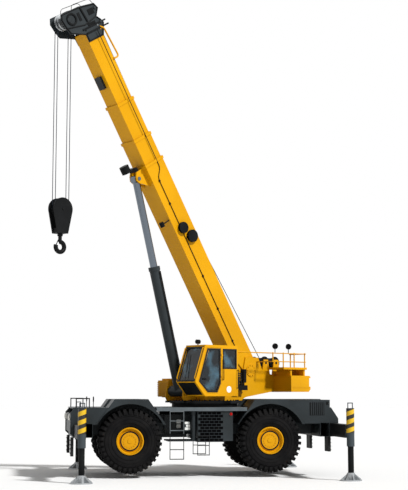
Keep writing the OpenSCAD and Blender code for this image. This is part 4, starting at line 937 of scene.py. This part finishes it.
# The black cable along the boom's left side, clipped to the base section
boomCable = {"radius": 0.012, "side": 0.357, "low": -0.13, "high": 0.11, "start": (1.0, 7.10, 7.35),
             "bend": 0.12, "ends": (7.60, 8.42, 9.64, 12.0), "clips": (1.2, 2.4, 3.6, 6.2, 7.0),
             "clipHalf": 0.03, "clipFace": 0.3402, "clipOut": 0.016, "clipEdge": 0.004}
side, low, high, half = [boomCable[key] for key in ("side", "low", "high", "clipHalf")]
x0, x1, x2 = boomCable["start"]
x3 = boomCable["ends"][0]
cable = bmesh.new()
run = roundPath([(x0, side, low), (x1, side, low), (x2, side, high), (x3, side, high)], boomCable["bend"])
addTube(cable, run, boomCable["radius"], 8)
for x in boomCable["clips"]:
    addBlock(cable, (x - half, boomCable["clipFace"], low - half),
             (x + half, side + boomCable["clipOut"], low + half), boomCable["clipEdge"])
addPiece("boomCable", cable, "black_paint", "boom_base", boomFrame)
for i in range(3):
    a, b = [boomFrame @ Vector((x, side, high)) for x in boomCable["ends"][i:i + 2]]
    cable = bmesh.new()
    addTube(cable, [a, b], boomCable["radius"], 8, 12)
    addPiece(f"boomCable_{i}", cable, "black_paint", chain[i], bend=(chain[i + 1], a, b))

# Guard tube on the tip's left side, bent down to the head plate, on two short feet
guard = {"path": [(11.01, 0.30, 0.30), (11.01, 0.30, 0.50), (11.98, 0.30, 0.42), (12.07, 0.30, 0.30)],
         "bend": 0.10, "radius": 0.028, "feet": (11.01, 11.99), "foot": ((0, 0.2652, 0.28), (0, 0.30, 0.32)),
         "footRadius": 0.02}
tube = bmesh.new()
addTube(tube, roundPath(guard["path"], guard["bend"]), guard["radius"])
for x in guard["feet"]:
    addTube(tube, [Vector((x, 0, 0)) + Vector(p) for p in guard["foot"]], guard["footRadius"], 8)
addPiece("headGuard", tube, "yellow_paint", "boom_tip", boomFrame)

# Boom head, the same on both plates: edge ribs, caps on the pins, a thin rope guard over the nose, and the
# bars, cover plates and ring between them
head = {"face": 0.2873, "rib": 0.020,
        "edge": [(12.02, -0.30), (11.81, -0.29), (11.81, 0.29), (12.13, 0.50), (12.25, 0.44), (12.39, 0.33),
                 (12.60, 0.52), (12.75, 0.45), (12.85, -0.16), (12.86, -0.86), (12.72, -0.94), (12.43, -0.89),
                 (12.25, -0.82), (12.02, -0.30)],
        "web": [(12.39, 0.33), (12.30, -0.20), (12.43, -0.89)],
        "pins": [(12.64, -0.69, 0.075), (12.19, 0.416, 0.05), (12.64, 0.416, 0.05)],     # place and radius
        "pinCap": (0.022, 0.034), "capTop": 0.8,
        "guard": [(12.76, 0.44), (12.95, 0.36), (13.00, -0.35), (12.86, -0.45)],
        "wireSide": 0.2763, "wireBend": 0.08, "wire": 0.009,
        "bars": [((12.84, -0.12), (12.36, -0.06)), ((12.19, -0.36), (12.19, 0.60)),
                 ((12.04, -0.28), (12.04, 0.66))],
        "bar": 0.032, "ring": (12.62, -0.58), "ringRadius": 0.19, "ringBore": 0.72, "ringUp": 0.03,
        "covers": [((12.50, 0.10), (12.68, 0.34)), ((12.46, -0.32), (12.72, -0.22)),
                   ((12.22, -0.10), (12.30, 0.22))],
        "cover": 0.012, "coverEdge": 0.003}
ribs, caps, wires, stays = bmesh.new(), bmesh.new(), bmesh.new(), bmesh.new()
shoulder, crown = head["pinCap"]
outer = head["ringRadius"]
inner, rise = outer * head["ringBore"], head["ringUp"]
for sign in sides.values():
    plate, middle = sign * head["face"], sign * (head["face"] + head["rib"] * 0.5)
    for path in (head["edge"], head["web"]):
        addTube(ribs, [(x, middle, z) for x, z in path], head["rib"], 8)
    for x, z, radius in head["pins"]:
        cap = [(0, crown), (radius * head["capTop"], crown), (radius, shoulder), (radius, 0), (0, 0)]
        addLathe(caps, cap, 28, place=turned((x, plate, z), -90 * sign))
    wire = [(x, sign * head["wireSide"], z) for x, z in head["guard"]]
    addTube(wires, roundPath(wire, head["wireBend"]), head["wire"], 8)
    for bar in head["bars"]:
        addTube(stays, [(x, middle, z) for x, z in bar], head["bar"], 4)
    x, z = head["ring"]
    addLathe(stays, [(inner, 0), (inner, rise), (outer, rise), (outer, 0)], 40, True,
             turned((x, plate, z), -90 * sign))
    y0, y1 = sorted((plate, plate + sign * head["cover"]))
    for (x0, z0), (x1, z1) in head["covers"]:
        addBlock(stays, (x0, y0, z0), (x1, y1, z1), head["coverEdge"])
addPiece("headStays", stays, "black_paint", "boom_tip", boomFrame)
addPiece("headRibs", ribs, "black_paint", "boom_tip", boomFrame)
addPiece("headPinCaps", caps, "grey_paint", "boom_tip", boomFrame)
addPiece("headRopeGuard", wires, "black_paint", "boom_tip", boomFrame)


# A point of the lift cylinder's frame, at an angle round its axis from the top
def roundCylinder(x, out, degrees):
    angle = math.radians(degrees)
    return x, out * math.sin(angle), out * math.cos(angle)


# Lift cylinder: two pressure pipes along the barrel, with their clamps
pipes = {"start": -6.25, "end": -2.95, "angles": (62, 82), "out": 0.186, "radius": 0.013,
         "clamps": 5, "clampIn": 0.2, "clampAngles": (55, 72, 90), "clampOut": 0.165, "clampRadius": 0.022}
pipeShape = bmesh.new()
for angle in pipes["angles"]:
    run = [roundCylinder(pipes[key], pipes["out"], angle) for key in ("start", "end")]
    addTube(pipeShape, run, pipes["radius"], 8)
first, last = pipes["start"] + pipes["clampIn"], pipes["end"] - pipes["clampIn"]
for i in range(pipes["clamps"]):
    x = first + i * (last - first) / (pipes["clamps"] - 1)
    clamp = [roundCylinder(x, pipes["clampOut"], angle) for angle in pipes["clampAngles"]]
    addTube(pipeShape, clamp, pipes["clampRadius"], 6)
addPiece("liftPipes", pipeShape, "black_paint", "lift_barrel", liftFrame)

# Rope falls: a ring at each end only, drawn as they hang
falls = {"spread": 0.2393, "pitch": 0.15, "rope": 0.011}
low, high = [Vector(corner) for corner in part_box("hoist_falls")]
crown = Vector(((low.x + high.x) / 2, (low.y + high.y) / 2, high.z))
foot = Vector((crown.x, crown.y, low.z))
ropes = bmesh.new()
for x in (-falls["spread"], falls["spread"]):
    for y in (-falls["pitch"] / 2, falls["pitch"] / 2):
        spot = superFrame.to_3x3() @ Vector((x, y, 0))
        addTube(ropes, [crown + spot, foot + spot], falls["rope"], 12)
piece = addPiece("ropeFalls", ropes, "wire_rope", "hoist_falls", bend=("hook_block", crown, foot))
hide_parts("hoist_falls")
print("boom dressed")

# Studio: a pale floor, and light from two suns high on the left side
studio = {
    "floor": 400.0,
    "floorColour": "#FBFBFA",
    "floorRoughness": 0.9,
    "sky": 0.27,                             # strength as a light; the camera and reflections see plain white
    "key": (-38.0, 44.0, 48.0, 3.7, 6),      # place, strength, and how wide the sun is in degrees
    "fill": (10.0, 46.0, 16.0, 0.1, 60),
}
world = bpy.data.worlds.new("studioWorld")
world.use_nodes = True
worldTree = world.node_tree
backdrop = worldTree.nodes["Background"]
backdrop.inputs["Color"].default_value = (1, 1, 1, 1)
rays = addNode(worldTree, "ShaderNodeLightPath").outputs
seen = addNode(worldTree, "ShaderNodeMath", {"operation": "MAXIMUM"},
               i0=rays["Is Camera Ray"], i1=rays["Is Glossy Ray"])
seen = addNode(worldTree, "ShaderNodeMath", {"operation": "MAXIMUM"},
               i0=seen.outputs["Value"], i1=rays["Is Transmission Ray"])
level = addNode(worldTree, "ShaderNodeMapRange", {"To Min": studio["sky"], "To Max": 1.0},
                Value=seen.outputs["Value"])
worldTree.links.new(level.outputs["Result"], backdrop.inputs["Strength"])
bpy.context.scene.world = world

floorMesh = bpy.data.meshes.new("floor")
half = studio["floor"] / 2
corners = [(-half, -half, 0), (half, -half, 0), (half, half, 0), (-half, half, 0)]
floorMesh.from_pydata(corners, [], [(0, 1, 2, 3)])
floorMesh.materials.append(startMaterial("paleFloor", studio["floorColour"], studio["floorRoughness"])[0])
floor = bpy.data.objects.new("floor", floorMesh)
bpy.context.collection.objects.link(floor)

for name in ("key", "fill"):
    x, y, z, strength, angle = studio[name]
    sun = bpy.data.lights.new(name, "SUN")
    sun.energy = strength
    sun.angle = math.radians(angle)
    sunObject = bpy.data.objects.new(name, sun)
    sunObject.location = (x, y, z)
    sunObject.rotation_euler = Vector((-x, -y, -z)).to_track_quat("-Z", "Y").to_euler()
    bpy.context.collection.objects.link(sunObject)
bpy.context.scene.view_settings.view_transform = "Standard"
print("studio lit")
